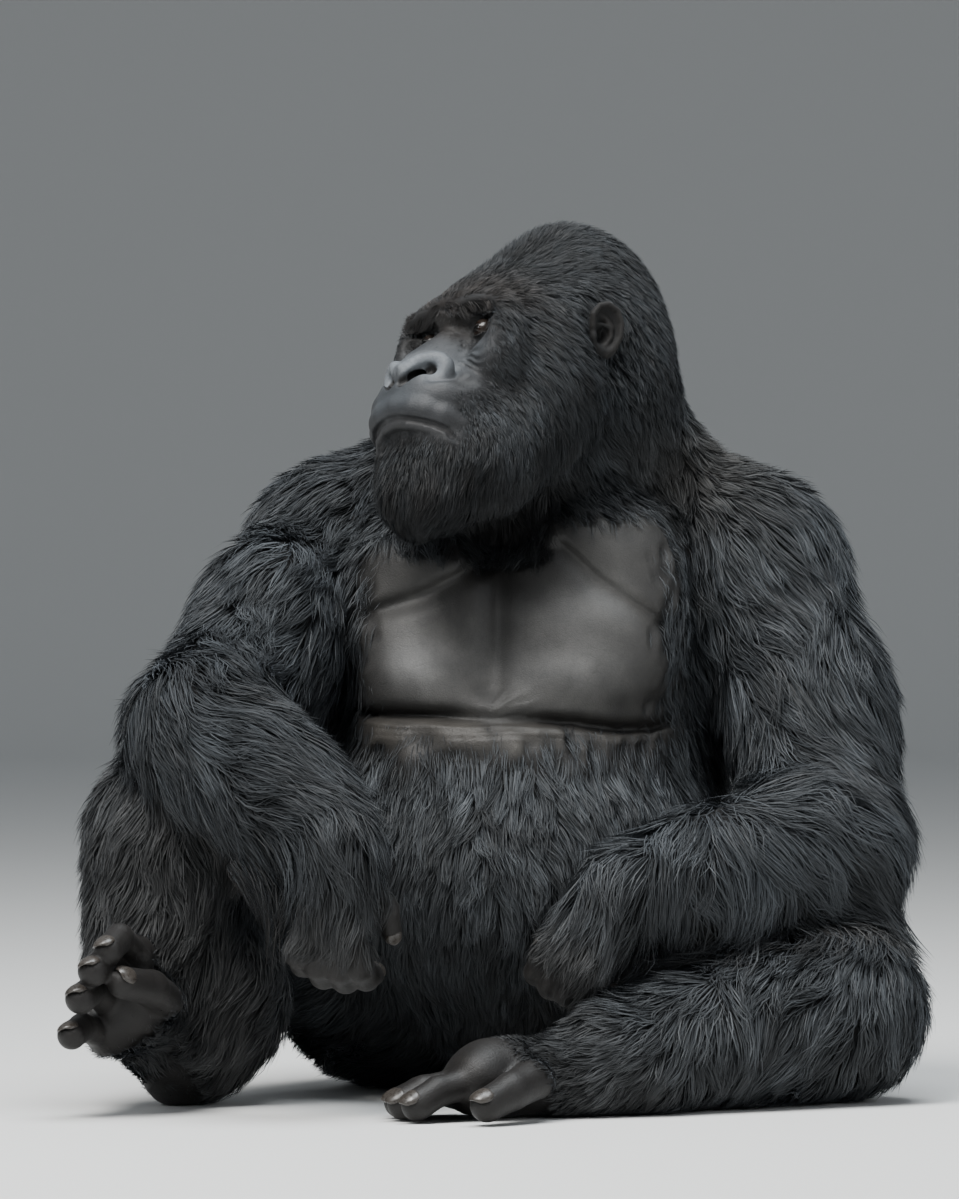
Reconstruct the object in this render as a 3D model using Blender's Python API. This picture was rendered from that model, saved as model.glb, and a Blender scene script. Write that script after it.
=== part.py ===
"""A seated adult male mountain gorilla: a still, life-size museum model.

The animal sits upright on its rump and looks up to its right. Its right elbow rests over the
raised right knee, its left forearm lies in its lap over the folded left leg.

Every piece is cut from one closed form. The form is a distance field: ellipsoids and tapered
round limbs, placed from the joints below and joined softly, as flesh joins. The field is turned
into a mesh by cutting a grid of cubes into tetrahedra, thinned with a Decimate modifier, and cut
across at the joints with Boolean half-spaces, which leave the gap between neighbours.
"""
import math
import bpy
import numpy as np

LIFE = 1.10 / 1.20                 # the form is drawn 1.2 times over; this brings it to life size
SITE = (0.00514, -0.11418)                  # middle of the drawn form's box, which becomes the origin
GAP = 0.0003                       # between two pieces cut from each other at a joint
CONTACT = 0.0050                   # between limbs that rest on the body or on each other
FACES = {"head": 2150, "torso": 1200, "arm_L": 1120, "arm_R": 1120, "leg_L": 940, "leg_R": 940}
CELL = {"head": 0.0055, "torso": 0.011, "arm_L": 0.0065, "arm_R": 0.0065, "leg_L": 0.0065, "leg_R": 0.0065}

HEAD_ORIGIN = (-0.0586, -0.185, 0.9155)       # midpoint between the eyes
HEAD_YAW, HEAD_PITCH, HEAD_ROLL = 46.6, 18.5, -14.4
TRUNK_YAW = 8.0                                # the chest turns to the animal's right
EYE_R = 0.0135
EYE_HALF = 0.047

JOINTS = {
    "shoulder_L": (0.318, 0.030, 0.638), "elbow_L": (0.400, -0.110, 0.305), "wrist_L": (0.140, -0.335, 0.262),
    "shoulder_R": (-0.208, 0.045, 0.652), "elbow_R": (-0.358, -0.270, 0.450), "wrist_R": (-0.188, -0.470, 0.318),
    "hip_L": (0.160, 0.060, 0.150), "knee_L": (0.410, -0.165, 0.110), "ankle_L": (0.120, -0.385, 0.074),
    "hip_R": (-0.130, 0.070, 0.160), "knee_R": (-0.385, -0.215, 0.325), "ankle_R": (-0.420, -0.278, 0.120),
}


def unit(v):
    v = np.asarray(v, float)
    return v / np.linalg.norm(v)


def turn(axis, degrees):
    """Rotation matrix about X, Y or Z."""
    c, s = math.cos(math.radians(degrees)), math.sin(math.radians(degrees))
    return {"x": np.array([[1, 0, 0], [0, c, -s], [0, s, c]]),
            "y": np.array([[c, 0, s], [0, 1, 0], [-s, 0, c]]),
            "z": np.array([[c, -s, 0], [s, c, 0], [0, 0, 1]])}[axis]


# columns: where the head's left, forward and up point in the world
HEAD_M = turn("y", HEAD_ROLL) @ turn("z", -HEAD_YAW) @ turn("x", -HEAD_PITCH) @ np.array([[1., 0, 0], [0, -1, 0], [0, 0, 1]])
TRUNK_M = turn("z", -TRUNK_YAW)
TRUNK_O = np.array([0.020, 0.030, 0.0])


def head_point(l, f, u):
    return np.array(HEAD_ORIGIN) + HEAD_M @ np.array([l, f, u])


# ---------------------------------------------------------------- distance fields
def f32(v):
    return np.asarray(v, np.float32)


def smin(a, b, k):
    h = np.maximum(k - np.abs(a - b), 0) / k
    return np.minimum(a, b) - h * h * k * 0.25


def smax(a, b, k):
    return -smin(-a, -b, k)


def cone(P, a, b, ra, rb):
    """Round limb from a to b whose radius runs from ra to rb."""
    a, b = f32(a), f32(b)
    ab = b - a
    t = np.clip((P - a) @ ab / float(ab @ ab), 0, 1)
    d = P - a - t[:, None] * ab
    return np.sqrt((d * d).sum(1)) - (ra + (rb - ra) * t)


def egg(P, c, r, M=None):
    """Ellipsoid at c with half-axes r, turned by M."""
    q = P - f32(c)
    if M is not None:
        q = q @ f32(M)
    q = q / f32(r)
    k0 = np.sqrt((q * q).sum(1)) + 1e-6
    k1 = np.sqrt(((q / f32(r)) ** 2).sum(1)) + 1e-6
    return k0 * (k0 - 1) / k1


def slab(P, c, half, r, M=None):
    """Box with rounded edges."""
    q = P - f32(c)
    if M is not None:
        q = q @ f32(M)
    q = np.abs(q) - (f32(half) - r)
    return np.sqrt((np.maximum(q, 0) ** 2).sum(1)) + np.minimum(q.max(1), 0) - r


def bump(P, c, r, M=None):
    """1 at c, falling smoothly to 0 at about the half-axes r."""
    q = P - f32(c)
    if M is not None:
        q = q @ f32(M)
    return np.exp(-1.6 * ((q / f32(r)) ** 2).sum(1))


def blend_all(fields, k):
    out = fields[0]
    for f in fields[1:]:
        out = smin(out, f, k)
    return out


def ramp(x, lo, hi):
    t = np.clip((x - lo) / (hi - lo), 0, 1)
    return t * t * (3 - 2 * t)


def trunk(P):
    Q = (P - f32(TRUNK_O)) @ f32(TRUNK_M)          # x left, -y front
    f = egg(Q, (0, 0.085, 0.165), (0.255, 0.225, 0.205))                 # pelvis
    f = smin(f, egg(Q, (-0.005, -0.050, 0.285), (0.262, 0.265, 0.225)), 0.09)    # belly
    f = smin(f, egg(Q, (0, 0.015, 0.500), (0.262, 0.225, 0.270)), 0.09)      # rib cage
    f = smin(f, egg(Q, (0.005, 0.115, 0.640), (0.270, 0.150, 0.165)), 0.08)   # upper back
    f = smin(f, egg(Q, (0, 0.100, 0.360), (0.245, 0.180, 0.230)), 0.08)       # loins
    f = smin(f, cone(Q, (-0.225, 0.03, 0.668), (0.240, 0.03, 0.665), 0.092, 0.092), 0.06)   # collar and shoulder blades
    for s, x, w in ((-1, -0.094, 0.122), (1, 0.104, 0.132)):                          # breast muscles
        pec = egg(Q, (x, -0.128, 0.590), (w, 0.086, 0.150), turn("z", s * 12.0) @ turn("x", -8.0))
        f = smin(f, smax(pec, 0.474 - Q[:, 2] + s * 0.02 * (Q[:, 0] - x), 0.030), 0.022)
    return f


def neck(P):
    f = cone(P, (0.045, 0.045, 0.650), head_point(0.0, -0.115, -0.055), 0.155, 0.112)
    f = smin(f, cone(P, (0.275, 0.045, 0.672), head_point(0.03, -0.165, 0.0), 0.072, 0.075), 0.06)     # left trapezius
    f = smin(f, cone(P, (-0.195, 0.06, 0.680), head_point(-0.03, -0.165, -0.02), 0.072, 0.075), 0.06)
    return f


def head(P):
    Q = (P - f32(HEAD_ORIGIN)) @ f32(HEAD_M)       # x left, y forward, z up
    A = Q.copy(); A[:, 0] = np.abs(A[:, 0])
    f = egg(Q, (0, -0.122, 0.014), (0.114, 0.130, 0.098))                           # brain case
    f = smin(f, egg(Q, (0, -0.210, 0.066), (0.080, 0.124, 0.109), turn("x", 18)), 0.06)    # crest
    f = smin(f, egg(Q, (0, -0.232, -0.030), (0.112, 0.101, 0.127)), 0.05)             # nape
    f = smin(f, egg(A, (0.066, -0.088, -0.060), (0.066, 0.078, 0.105)), 0.04)        # cheek fur
    f = smin(f, egg(A, (0.045, -0.025, -0.150), (0.066, 0.080, 0.074)), 0.04)        # jaw fur
    f = smin(f, egg(Q, (0, 0.040, -0.190), (0.078, 0.063, 0.068)), 0.045)            # beard
    f = smin(f, egg(Q, (0, 0.028, -0.100), (0.084, 0.070, 0.057)), 0.028)             # muzzle
    f = smin(f, cone(Q, (0, -0.025, -0.02), (0, 0.035, -0.070), 0.038, 0.044), 0.02)             # mid face
    f = smin(f, cone(A, (0, 0.004, 0.034), (0.074, -0.012, 0.031), 0.016, 0.015), 0.020)        # brow ridge
    f = smin(f, egg(A, (0.085, -0.014, -0.018), (0.023, 0.028, 0.052)), 0.020)               # outer rim of the orbit
    f = smin(f, egg(A, (0.068, -0.016, -0.042), (0.034, 0.036, 0.030)), 0.020)               # cheek bone
    # nose: a bridge, and a flat pad with wide flaring wings
    f = smin(f, cone(Q, (0, 0.012, -0.012), (0, 0.062, -0.052), 0.012, 0.016), 0.014)
    f = smin(f, cone(A, (0.006, 0.068, -0.064), (0.034, 0.048, -0.056), 0.019, 0.020), 0.008)
    f = smax(f, -cone(A, (0.009, 0.090, -0.0700), (0.034, 0.069, -0.0520), 0.0060, 0.0075), 0.004)
    # lips
    f = smin(f, smin(cone(A, (0, 0.084, -0.104), (0.034, 0.076, -0.110), 0.012, 0.011), cone(A, (0.034, 0.076, -0.110), (0.066, 0.036, -0.132), 0.011, 0.008), 0.006), 0.012)
    f = smin(f, smin(cone(A, (0, 0.078, -0.127), (0.032, 0.068, -0.132), 0.013, 0.012), cone(A, (0.032, 0.068, -0.132), (0.060, 0.036, -0.144), 0.012, 0.008), 0.006), 0.006)
    # eye sockets, and the lids over the eyes
    f = smax(f, -egg(A, (0.048, 0.016, 0.002), (0.025, 0.024, 0.017)), 0.010)
    f = smin(f, egg(A, (EYE_HALF, -0.012, 0.0), (EYE_R + 0.0035,) * 3), 0.006)
    return f


def upper_arm(P, s):
    S, E = np.array(JOINTS["shoulder_" + s]), np.array(JOINTS["elbow_" + s])
    big = {"L": 1.0, "R": 0.90}[s]
    f = egg(P, S, (0.112 * big, 0.112, 0.116 * big))
    f = smin(f, cone(P, S, E, 0.106 * big, 0.102 * big), 0.05)
    m = S * 0.45 + E * 0.55
    f = smin(f, egg(P, m + np.array([0.02 if s == "L" else 0.01, 0.03, 0.0]), (0.110 * big, 0.115, 0.150)), 0.05)
    return f


def forearm(P, s):
    E, W = np.array(JOINTS["elbow_" + s]), np.array(JOINTS["wrist_" + s])
    big = {"L": 1.0, "R": 0.90}[s]
    f = cone(P, E, W, 0.098 * big, 0.062)
    f = smin(f, cone(P, E * 0.90 + W * 0.10, E * 0.35 + W * 0.65, 0.102 * big, 0.082), 0.06)
    return f


def limb_frame(x, z_hint):
    x = unit(x)
    y = unit(np.cross(z_hint, x))
    return np.stack([x, y, np.cross(x, y)], 1)       # columns: along, sideways, back of the hand


def hand_frame(s):
    W = np.array(JOINTS["wrist_" + s])
    if s == "L":
        return W, limb_frame((-0.50, -0.10, -0.70), (-0.35, -0.80, 0.30))
    return W, limb_frame((-0.10, 0.10, -0.98), (-0.25, -0.95, 0.0))


FINGER_CURL = {"L": (38, 62, 45), "R": (22, 40, 30)}


def hand_segments(s):
    """Centre lines and radii of the finger bones, in world coordinates."""
    O, M = hand_frame(s)
    out = []
    for i, (y, l, r) in enumerate(((-0.036, 0.90, 0.0165), (-0.012, 1.0, 0.0175), (0.013, 0.98, 0.0172), (0.036, 0.82, 0.0150))):
        y = y if s == "L" else -y
        p, a = np.array([0.098, y, 0.004]), 0.0
        spread = y * 0.8
        for n, (seg, rr) in enumerate(((0.050, 1.0), (0.036, 0.97), (0.027, 0.92))):
            a += math.radians(FINGER_CURL[s][n])
            q = p + seg * l * np.array([math.cos(a), spread, -math.sin(a)])
            out.append((O + M @ p, O + M @ q, r * rr, r * (rr - 0.06), i, n))
            p = q
    t = -1 if s == "L" else 1
    p = np.array([0.030, t * 0.036, -0.012])
    for n, d in enumerate(((0.040, t * 0.022, -0.018), (0.028, t * 0.004, -0.014))):
        q = p + np.array(d)
        out.append((O + M @ p, O + M @ q, 0.0165 - 0.002 * n, 0.0150 - 0.002 * n, 4, n))
        p = q
    return out


def hand(P, s):
    O, M = hand_frame(s)
    f = egg(P, O + M @ np.array([0.055, 0, 0]), (0.066, 0.052, 0.033), M)
    f = smin(f, cone(P, O, O + M @ np.array([0.04, 0, 0]), 0.044, 0.036), 0.02)
    for a, b, ra, rb, i, n in hand_segments(s):
        f = smin(f, cone(P, a, b, ra, rb), 0.006)
    return f


def thigh(P, s):
    H, K = np.array(JOINTS["hip_" + s]), np.array(JOINTS["knee_" + s])
    f = cone(P, H, K, 0.165, 0.108)
    return f


def shin(P, s):
    K, A = np.array(JOINTS["knee_" + s]), np.array(JOINTS["ankle_" + s])
    f = cone(P, K, A, 0.104, 0.060)
    f = smin(f, cone(P, K * 0.9 + A * 0.1, K * 0.3 + A * 0.7, 0.100, 0.076), 0.06)
    if s == "R":
        f = smin(f, egg(P, (-0.338, -0.205, 0.132), (0.098, 0.098, 0.118)), 0.04)      # calf, down to the heel
    return f


# The right foot points forward, rolled onto its outer edge with the toes curled; the left
# one lies flat. Each toe is a chain from the ball of the foot to its tip.
TOES = {
    "R": [((-0.426, -0.375, 0.186), (-0.442, -0.420, 0.208), (-0.453, -0.454, 0.196), 0.0175),
          ((-0.440, -0.375, 0.158), (-0.459, -0.425, 0.180), (-0.470, -0.462, 0.172), 0.0180),
          ((-0.452, -0.368, 0.126), (-0.474, -0.420, 0.148), (-0.485, -0.458, 0.140), 0.0178),
          ((-0.460, -0.358, 0.090), (-0.486, -0.408, 0.104), (-0.496, -0.444, 0.097), 0.0168)],
    "L": [((-0.028, -0.470, 0.046), (-0.072, -0.494, 0.036), (-0.096, -0.508, 0.021), 0.0185),
          ((-0.040, -0.448, 0.042), (-0.088, -0.464, 0.034), (-0.112, -0.474, 0.020), 0.0190),
          ((-0.048, -0.422, 0.037), (-0.094, -0.432, 0.031), (-0.117, -0.438, 0.019), 0.0180),
          ((-0.052, -0.396, 0.032), (-0.092, -0.400, 0.027), (-0.112, -0.402, 0.018), 0.0170)],
}
GREAT_TOE = {"R": ((-0.388, -0.350, 0.130), (-0.406, -0.410, 0.150), (-0.436, -0.448, 0.158), 0.0205),
             "L": ((0.040, -0.480, 0.050), (0.012, -0.522, 0.038), (-0.016, -0.548, 0.024), 0.0215)}
HEEL = {"R": (-0.378, -0.225, 0.047), "L": (0.170, -0.372, 0.050)}
BALL = {"R": (-0.432, -0.348, 0.124), "L": (-0.012, -0.438, 0.048)}


def foot(P, s):
    A, Hh, B = JOINTS["ankle_" + s], np.array(HEEL[s]), np.array(BALL[s])
    f = cone(P, Hh, B, 0.046, 0.046)
    f = smin(f, cone(P, A, Hh * 0.6 + B * 0.4, 0.056, 0.048), 0.03)
    f = smin(f, cone(P, Hh, Hh + (B - Hh) * 0.1, 0.050, 0.048), 0.02)
    first, last = np.array(TOES[s][0][0]), np.array(TOES[s][3][0])
    f = smin(f, cone(P, first, last, 0.026, 0.024), 0.03)
    for a, b, c, r in TOES[s]:
        f = smin(f, smin(cone(P, a, b, r * 1.02, r * 0.95), cone(P, b, c, r * 0.95, r), 0.004), 0.006)
    a, b, c, r = GREAT_TOE[s]
    f = smin(f, smin(cone(P, a, b, r * 1.15, r), cone(P, b, c, r, r * 0.92), 0.005), 0.010)
    return f


def ear(P, s):
    """Small round ear, close to the head: a curled rim round a dished inner face."""
    d = 1 if s == "L" else -1
    C = head_point(d * 0.110, -0.149, 0.006)
    M = HEAD_M @ turn("z", -d * 24.0) @ turn("y", d * 10.0)
    Q = (P - f32(C)) @ f32(M)
    Q = Q * f32([d, 1, 1])                       # x out, y forward, z up
    f = egg(Q, (0.006, -0.004, 0.0), (0.014, 0.024, 0.037))
    f = smax(f, -egg(Q, (0.024, 0.003, 0.002), (0.0160, 0.0165, 0.028)), 0.004)
    return f


ANKLE_NORMAL = {"L": (-0.9, -0.35, -0.25), "R": (-0.10, -0.75, -0.65)}
PARTS = {"trunk": trunk, "neck": neck, "head": head}
for _s in "LR":
    for _n, _f in (("upper_arm", upper_arm), ("forearm", forearm), ("hand", hand), ("thigh", thigh), ("shin", shin), ("foot", foot)):
        PARTS[f"{_n}_{_s}"] = (lambda P, g=_f, s=_s: g(P, s))
SHOULDER_K, HIP_K = 0.070, 0.060


def near(P, c, lo, hi):
    d = np.sqrt(((P - f32(c)) ** 2).sum(1))
    return 1 - ramp(d, lo, hi)


def all_parts(P):
    return {n: g(P) for n, g in PARTS.items()}


def union(P, F):
    """The whole outer form: the parts joined softly at their joints and creased where they only touch."""
    f = smin(F["trunk"], F["neck"], 0.06)
    f = smin(f, F["head"], 0.030)
    for d in (-1, 1):                                                    # hollows in the coat round the ears
        f = smax(f, -egg(P, head_point(d * 0.136, -0.150, 0.004), (0.026, 0.038, 0.050), HEAD_M), 0.018)
    for s in "LR":
        arm = smin(F["upper_arm_" + s], F["forearm_" + s], 0.030)
        arm = smin(arm, F["hand_" + s], 0.020)
        f = smin(f, arm, 0.008 + (SHOULDER_K - 0.008) * near(P, JOINTS["shoulder_" + s], 0.10, 0.26))
        leg = smin(F["thigh_" + s], F["shin_" + s], 0.022)
        leg = smin(leg, F["foot_" + s], 0.018)
        f = smin(f, leg, 0.008 + (HIP_K - 0.008) * near(P, JOINTS["hip_" + s], 0.10, 0.26))
    return f


# ---------------------------------------------------------------- the five regions
def regions(P):
    """The outer form, and one field for each region that is meshed on its own."""
    F = all_parts(P)
    whole = union(P, F)
    share = {"head": F["head"] - 0.015, "torso": np.minimum(F["trunk"], F["neck"])}
    for s in "LR":
        share["arm_" + s] = np.minimum(np.minimum(F["upper_arm_" + s], F["forearm_" + s]), F["hand_" + s])
        share["leg_" + s] = np.minimum(np.minimum(F["thigh_" + s], F["shin_" + s]), F["foot_" + s])
    out = {}
    for name, own in share.items():
        f = whole
        for other, theirs in share.items():
            if other != name:
                f = np.maximum(f, (own - theirs + CONTACT * (1.4 if "head" in (name, other) else 1.0)) / 2)
        out[name] = f
    hollow = [np.sqrt(((P - f32(head_point(d * EYE_HALF, -0.012, 0.0))) ** 2).sum(1)) for d in (-1, 1)]
    out["head"] = np.maximum(out["head"], EYE_R + 0.0032 - np.minimum(*hollow))
    A = (P - f32(HEAD_ORIGIN)) @ f32(HEAD_M); A[:, 0] = np.abs(A[:, 0])
    out["head"] = smax(out["head"], -egg(A, (EYE_HALF, 0.012, 0.0), (0.0165, 0.018, 0.0105)), 0.003)
    return whole, out


def ears(P):
    whole = union(P, all_parts(P))
    return {"ear_" + s: np.maximum(ear(P, s), CONTACT * 1.4 - whole) for s in "LR"}


BOX = {"head": ((-0.36, -0.38, 0.62), (0.26, 0.20, 1.12)), "torso": ((-0.36, -0.36, -0.06), (0.42, 0.36, 0.98)),
       "arm_L": ((-0.06, -0.46, 0.08), (0.56, 0.22, 0.80)), "arm_R": ((-0.50, -0.46, 0.00), (0.00, 0.22, 0.80)),
       "leg_L": ((-0.16, -0.62, -0.08), (0.58, 0.28, 0.40)), "leg_R": ((-0.56, -0.54, -0.08), (0.12, 0.28, 0.48))}

TETS = ((0, 1, 3, 7), (0, 3, 2, 7), (0, 2, 6, 7), (0, 6, 4, 7), (0, 4, 5, 7), (0, 5, 1, 7))


def sample(fn, box, h):
    """Values of a field (or a dictionary of them) on a grid, worked out in slabs."""
    lo = np.array(box[0], np.float32)
    n = [int(math.ceil((box[1][i] - box[0][i]) / h)) + 1 for i in range(3)]
    y, z = np.meshgrid(lo[1] + h * np.arange(n[1]), lo[2] + h * np.arange(n[2]), indexing="ij")
    rows = []
    for i in range(0, n[0], 8):
        xs = lo[0] + h * np.arange(i, min(i + 8, n[0]))
        P = np.empty((len(xs), n[1], n[2], 3), np.float32)
        P[..., 0] = xs[:, None, None]; P[..., 1] = y; P[..., 2] = z
        rows.append(fn(P.reshape(-1, 3)).reshape(len(xs), n[1], n[2]))
    return lo, np.concatenate(rows)


def skin_of(V, lo, h):
    """Closed triangle mesh of V < 0: each cube of the grid is six tetrahedra, each cut in one or two triangles."""
    V = V.copy()
    V[[0, -1]] = 1; V[:, [0, -1]] = 1; V[:, :, [0, -1]] = 1
    n = V.shape
    step = (n[1] * n[2], n[2], 1)
    S = V < 0
    any_in = np.zeros([k - 1 for k in n], bool); all_in = np.ones([k - 1 for k in n], bool)
    for c in range(8):
        d = [(c >> a) & 1 for a in range(3)]
        cut = S[d[0]:n[0] - 1 + d[0], d[1]:n[1] - 1 + d[1], d[2]:n[2] - 1 + d[2]]
        any_in |= cut; all_in &= cut
    i, j, k = np.nonzero(any_in & ~all_in)
    base = i * step[0] + j * step[1] + k
    corner = np.stack([base + sum(((c >> a) & 1) * step[a] for a in range(3)) for c in range(8)], 1)
    T = np.concatenate([corner[:, t] for t in TETS])
    flat = V.reshape(-1)
    inside = flat[T] < 0
    count = inside.sum(1)
    order = np.argsort(~inside, axis=1, kind="stable")            # corners inside come first
    T = np.take_along_axis(T, order, 1)
    tri = []
    for m, shapes in ((1, (((0, 1), (0, 2), (0, 3)),)), (3, (((0, 3), (1, 3), (2, 3)),)),
                      (2, (((0, 2), (0, 3), (1, 3)), ((0, 2), (1, 3), (1, 2))))):
        t = T[count == m]
        for shape in shapes:
            tri.append((np.stack([np.stack([t[:, a], t[:, b]], 1) for a, b in shape], 1), t))
    edges = np.concatenate([e for e, _ in tri]).astype(np.int64)
    tets = np.concatenate([t for _, t in tri])
    key = edges.min(2) * flat.size + edges.max(2)
    keys, index = np.unique(key.reshape(-1), return_inverse=True)
    a, b = keys // flat.size, keys % flat.size

    def place(g):
        return np.stack([g // step[0], g // step[1] % n[1], g % n[2]], 1).astype(np.float64)
    w = np.clip(flat[a] / (flat[a] - flat[b]), 0.03, 0.97)[:, None]
    points = lo + h * (place(a) * (1 - w) + place(b) * w)
    faces = index.reshape(-1, 3)
    # outward means from the tetrahedron's inner corners to its outer ones
    c = place(tets.reshape(-1)).reshape(-1, 4, 3)
    inn = (flat[tets] < 0)[..., None]
    out = (c * ~inn).sum(1) / (~inn).sum(1) - (c * inn).sum(1) / inn.sum(1)
    p = points[faces]
    wrong = (np.cross(p[:, 1] - p[:, 0], p[:, 2] - p[:, 0]) * out).sum(1) < 0
    faces[wrong] = faces[wrong][:, ::-1]
    return points, faces


def largest(points, faces):
    """The biggest connected piece: a sliver left where three regions meet is dropped."""
    label = np.arange(len(points))
    while True:
        low = label[faces].min(1)
        new = label.copy()
        for c in range(3):
            np.minimum.at(new, faces[:, c], low)
        new = new[new]
        if (new == label).all():
            break
        label = new
    owner = label[faces[:, 0]]
    ids, counts = np.unique(owner, return_counts=True)
    keep = faces[owner == ids[counts.argmax()]]
    used, index = np.unique(keep.reshape(-1), return_inverse=True)
    return points[used], index.reshape(-1, 3)


def to_world(p):
    return (np.asarray(p, float) - np.array([SITE[0], SITE[1], 0.0])) * LIFE


# ---------------------------------------------------------------- Blender objects
def material(name, colour, roughness, metallic=0.0):
    mat = bpy.data.materials.get(name) or bpy.data.materials.new(name)
    mat.use_nodes = True
    shader = mat.node_tree.nodes["Principled BSDF"]
    shader.inputs["Base Color"].default_value = (*colour, 1.0)
    shader.inputs["Roughness"].default_value = roughness
    shader.inputs["Metallic"].default_value = metallic
    mat.diffuse_color = (*colour, 1.0)
    return mat


for old in list(bpy.data.objects):
    bpy.data.objects.remove(old)
COAT = material("coat", (0.020, 0.021, 0.023), 0.85)
SADDLE = material("coat_saddle", (0.20, 0.20, 0.20), 0.85)
SKIN = material("bare_skin", (0.035, 0.033, 0.033), 0.45)
EYE = material("eye", (0.035, 0.016, 0.008), 0.08)
body_root = bpy.data.objects.new("gorilla", None)
bpy.context.scene.collection.objects.link(body_root)


def add_object(name, points, faces, mat, helper=False):
    mesh = bpy.data.meshes.new(name)
    mesh.from_pydata([tuple(p) for p in points], [], [tuple(int(i) for i in f) for f in faces])
    mesh.update()
    if mat:
        mesh.materials.append(mat)
    obj = bpy.data.objects.new(name, mesh)
    bpy.context.scene.collection.objects.link(obj)
    if helper:
        obj.hide_render = True
        obj.display_type = "WIRE"
    else:
        obj.parent = body_root
        mesh.shade_smooth()
    return obj


def half_space(name, point, normal, size=1.6):
    """A big box whose one face lies on the plane; it fills the side the normal points to."""
    z = unit(normal)
    x = unit(np.cross(z, (0.3, 0.9, 0.2)))
    y = np.cross(z, x)
    c = to_world(point) + z * 0.0
    pts = [c + x * size * a + y * size * b + z * size * d for d in (0, 1) for b in (-1, 1) for a in (-1, 1)]
    faces = [(0, 2, 3, 1), (4, 5, 7, 6), (0, 1, 5, 4), (2, 6, 7, 3), (0, 4, 6, 2), (1, 3, 7, 5)]
    return add_object(name, pts, faces, None, helper=True)


def evaluated(obj):
    graph = bpy.context.evaluated_depsgraph_get()
    mesh = bpy.data.meshes.new_from_object(obj.evaluated_get(graph))
    return mesh


def thin(name, points, faces, target):
    """Decimated closed mesh of a region, as a hidden helper for the Booleans that follow."""
    obj = add_object(name + "_form", points, faces, None, helper=True)
    mod = obj.modifiers.new("thin", "DECIMATE")
    mod.ratio = min(1.0, target / len(faces))
    mod.use_collapse_triangulate = True
    mesh = evaluated(obj)
    obj.modifiers.clear()
    obj.data = mesh
    return obj


def piece(name, form, cuts, mat):
    """A node: its region's form, less the half-space on the wrong side of each joint plane."""
    obj = bpy.data.objects.new(name, form.data.copy())
    bpy.context.scene.collection.objects.link(obj)
    obj.parent = body_root
    obj.data.materials.clear()
    obj.data.materials.append(mat)
    for cutter in cuts:
        mod = obj.modifiers.new("cut_" + cutter.name, "BOOLEAN")
        mod.operation = "DIFFERENCE"
        mod.solver = "EXACT"
        mod.object = cutter
    mesh = evaluated(obj)
    obj.modifiers.clear()
    obj.data = mesh
    mesh.shade_smooth()
    mesh.set_sharp_from_angle(angle=math.radians(50))
    return obj


def both_sides(name, point, normal):
    """Cutters for the two pieces that meet at a plane, half the gap to each side of it."""
    n = unit(normal)
    point = np.array(point, float)
    off = n * GAP / 2 / LIFE
    return half_space(name + "_beyond", point - off, n), half_space(name + "_before", point + off, -n)


FLOOR = half_space("floor_cut", (0, 0, 0), (0, 0, -1))
forms = {}
for region, box in BOX.items():
    lo, V = sample(lambda P: regions(P)[1][region], box, CELL[region])
    points, faces = largest(*skin_of(V, lo, CELL[region]))
    forms[region] = thin(region, to_world(points), faces, FACES[region])

piece("head", forms["head"], [], COAT)
neck_top, neck_bottom = both_sides("neck_plane", (0.085, 0.03, 0.752), (0.16, -0.22, 0.96))
piece("trunk", forms["torso"], [neck_top, FLOOR], COAT)
piece("neck", forms["torso"], [neck_bottom], COAT)
for s in "LR":
    S, E, W = (np.array(JOINTS[k + s]) for k in ("shoulder_", "elbow_", "wrist_"))
    O, M = hand_frame(s)
    e1, e2 = both_sides("elbow_plane_" + s, E, unit(E - S) + unit(W - E))
    w1, w2 = both_sides("wrist_plane_" + s, W, unit(W - E) + M[:, 0])
    piece("upper_arm_" + s, forms["arm_" + s], [e1], COAT)
    piece("forearm_" + s, forms["arm_" + s], [e2, w1], COAT)
    piece("hand_" + s, forms["arm_" + s], [w2], SKIN)
    H, K, A = (np.array(JOINTS[k + s]) for k in ("hip_", "knee_", "ankle_"))
    k1, k2 = both_sides("knee_plane_" + s, K, unit(K - H) + unit(A - K))
    a1, a2 = both_sides("ankle_plane_" + s, A, ANKLE_NORMAL[s])
    piece("thigh_" + s, forms["leg_" + s], [k1, FLOOR], COAT)
    piece("shin_" + s, forms["leg_" + s], [k2, a1, FLOOR], COAT)
    piece("foot_" + s, forms["leg_" + s], [a2, FLOOR], SKIN)

for s, d in (("L", 1), ("R", -1)):
    c = head_point(d * 0.112, -0.150, 0.006)
    box = (c - 0.06, c + 0.06)
    lo, V = sample(lambda P: ears(P)["ear_" + s], box, 0.0025)
    points, faces = largest(*skin_of(V, lo, 0.0025))
    form = thin("ear_" + s, to_world(points), faces, 170)
    piece("ear_" + s, form, [], SKIN)
    bpy.ops.mesh.primitive_uv_sphere_add(segments=12, ring_count=8, radius=EYE_R * LIFE,
                                         location=tuple(to_world(head_point(d * EYE_HALF, -0.012, 0.0))))
    eye = bpy.context.object
    eye.name = eye.data.name = "eye_" + s
    eye.parent = body_root
    eye.data.materials.append(EYE)
    eye.data.shade_smooth()
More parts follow.
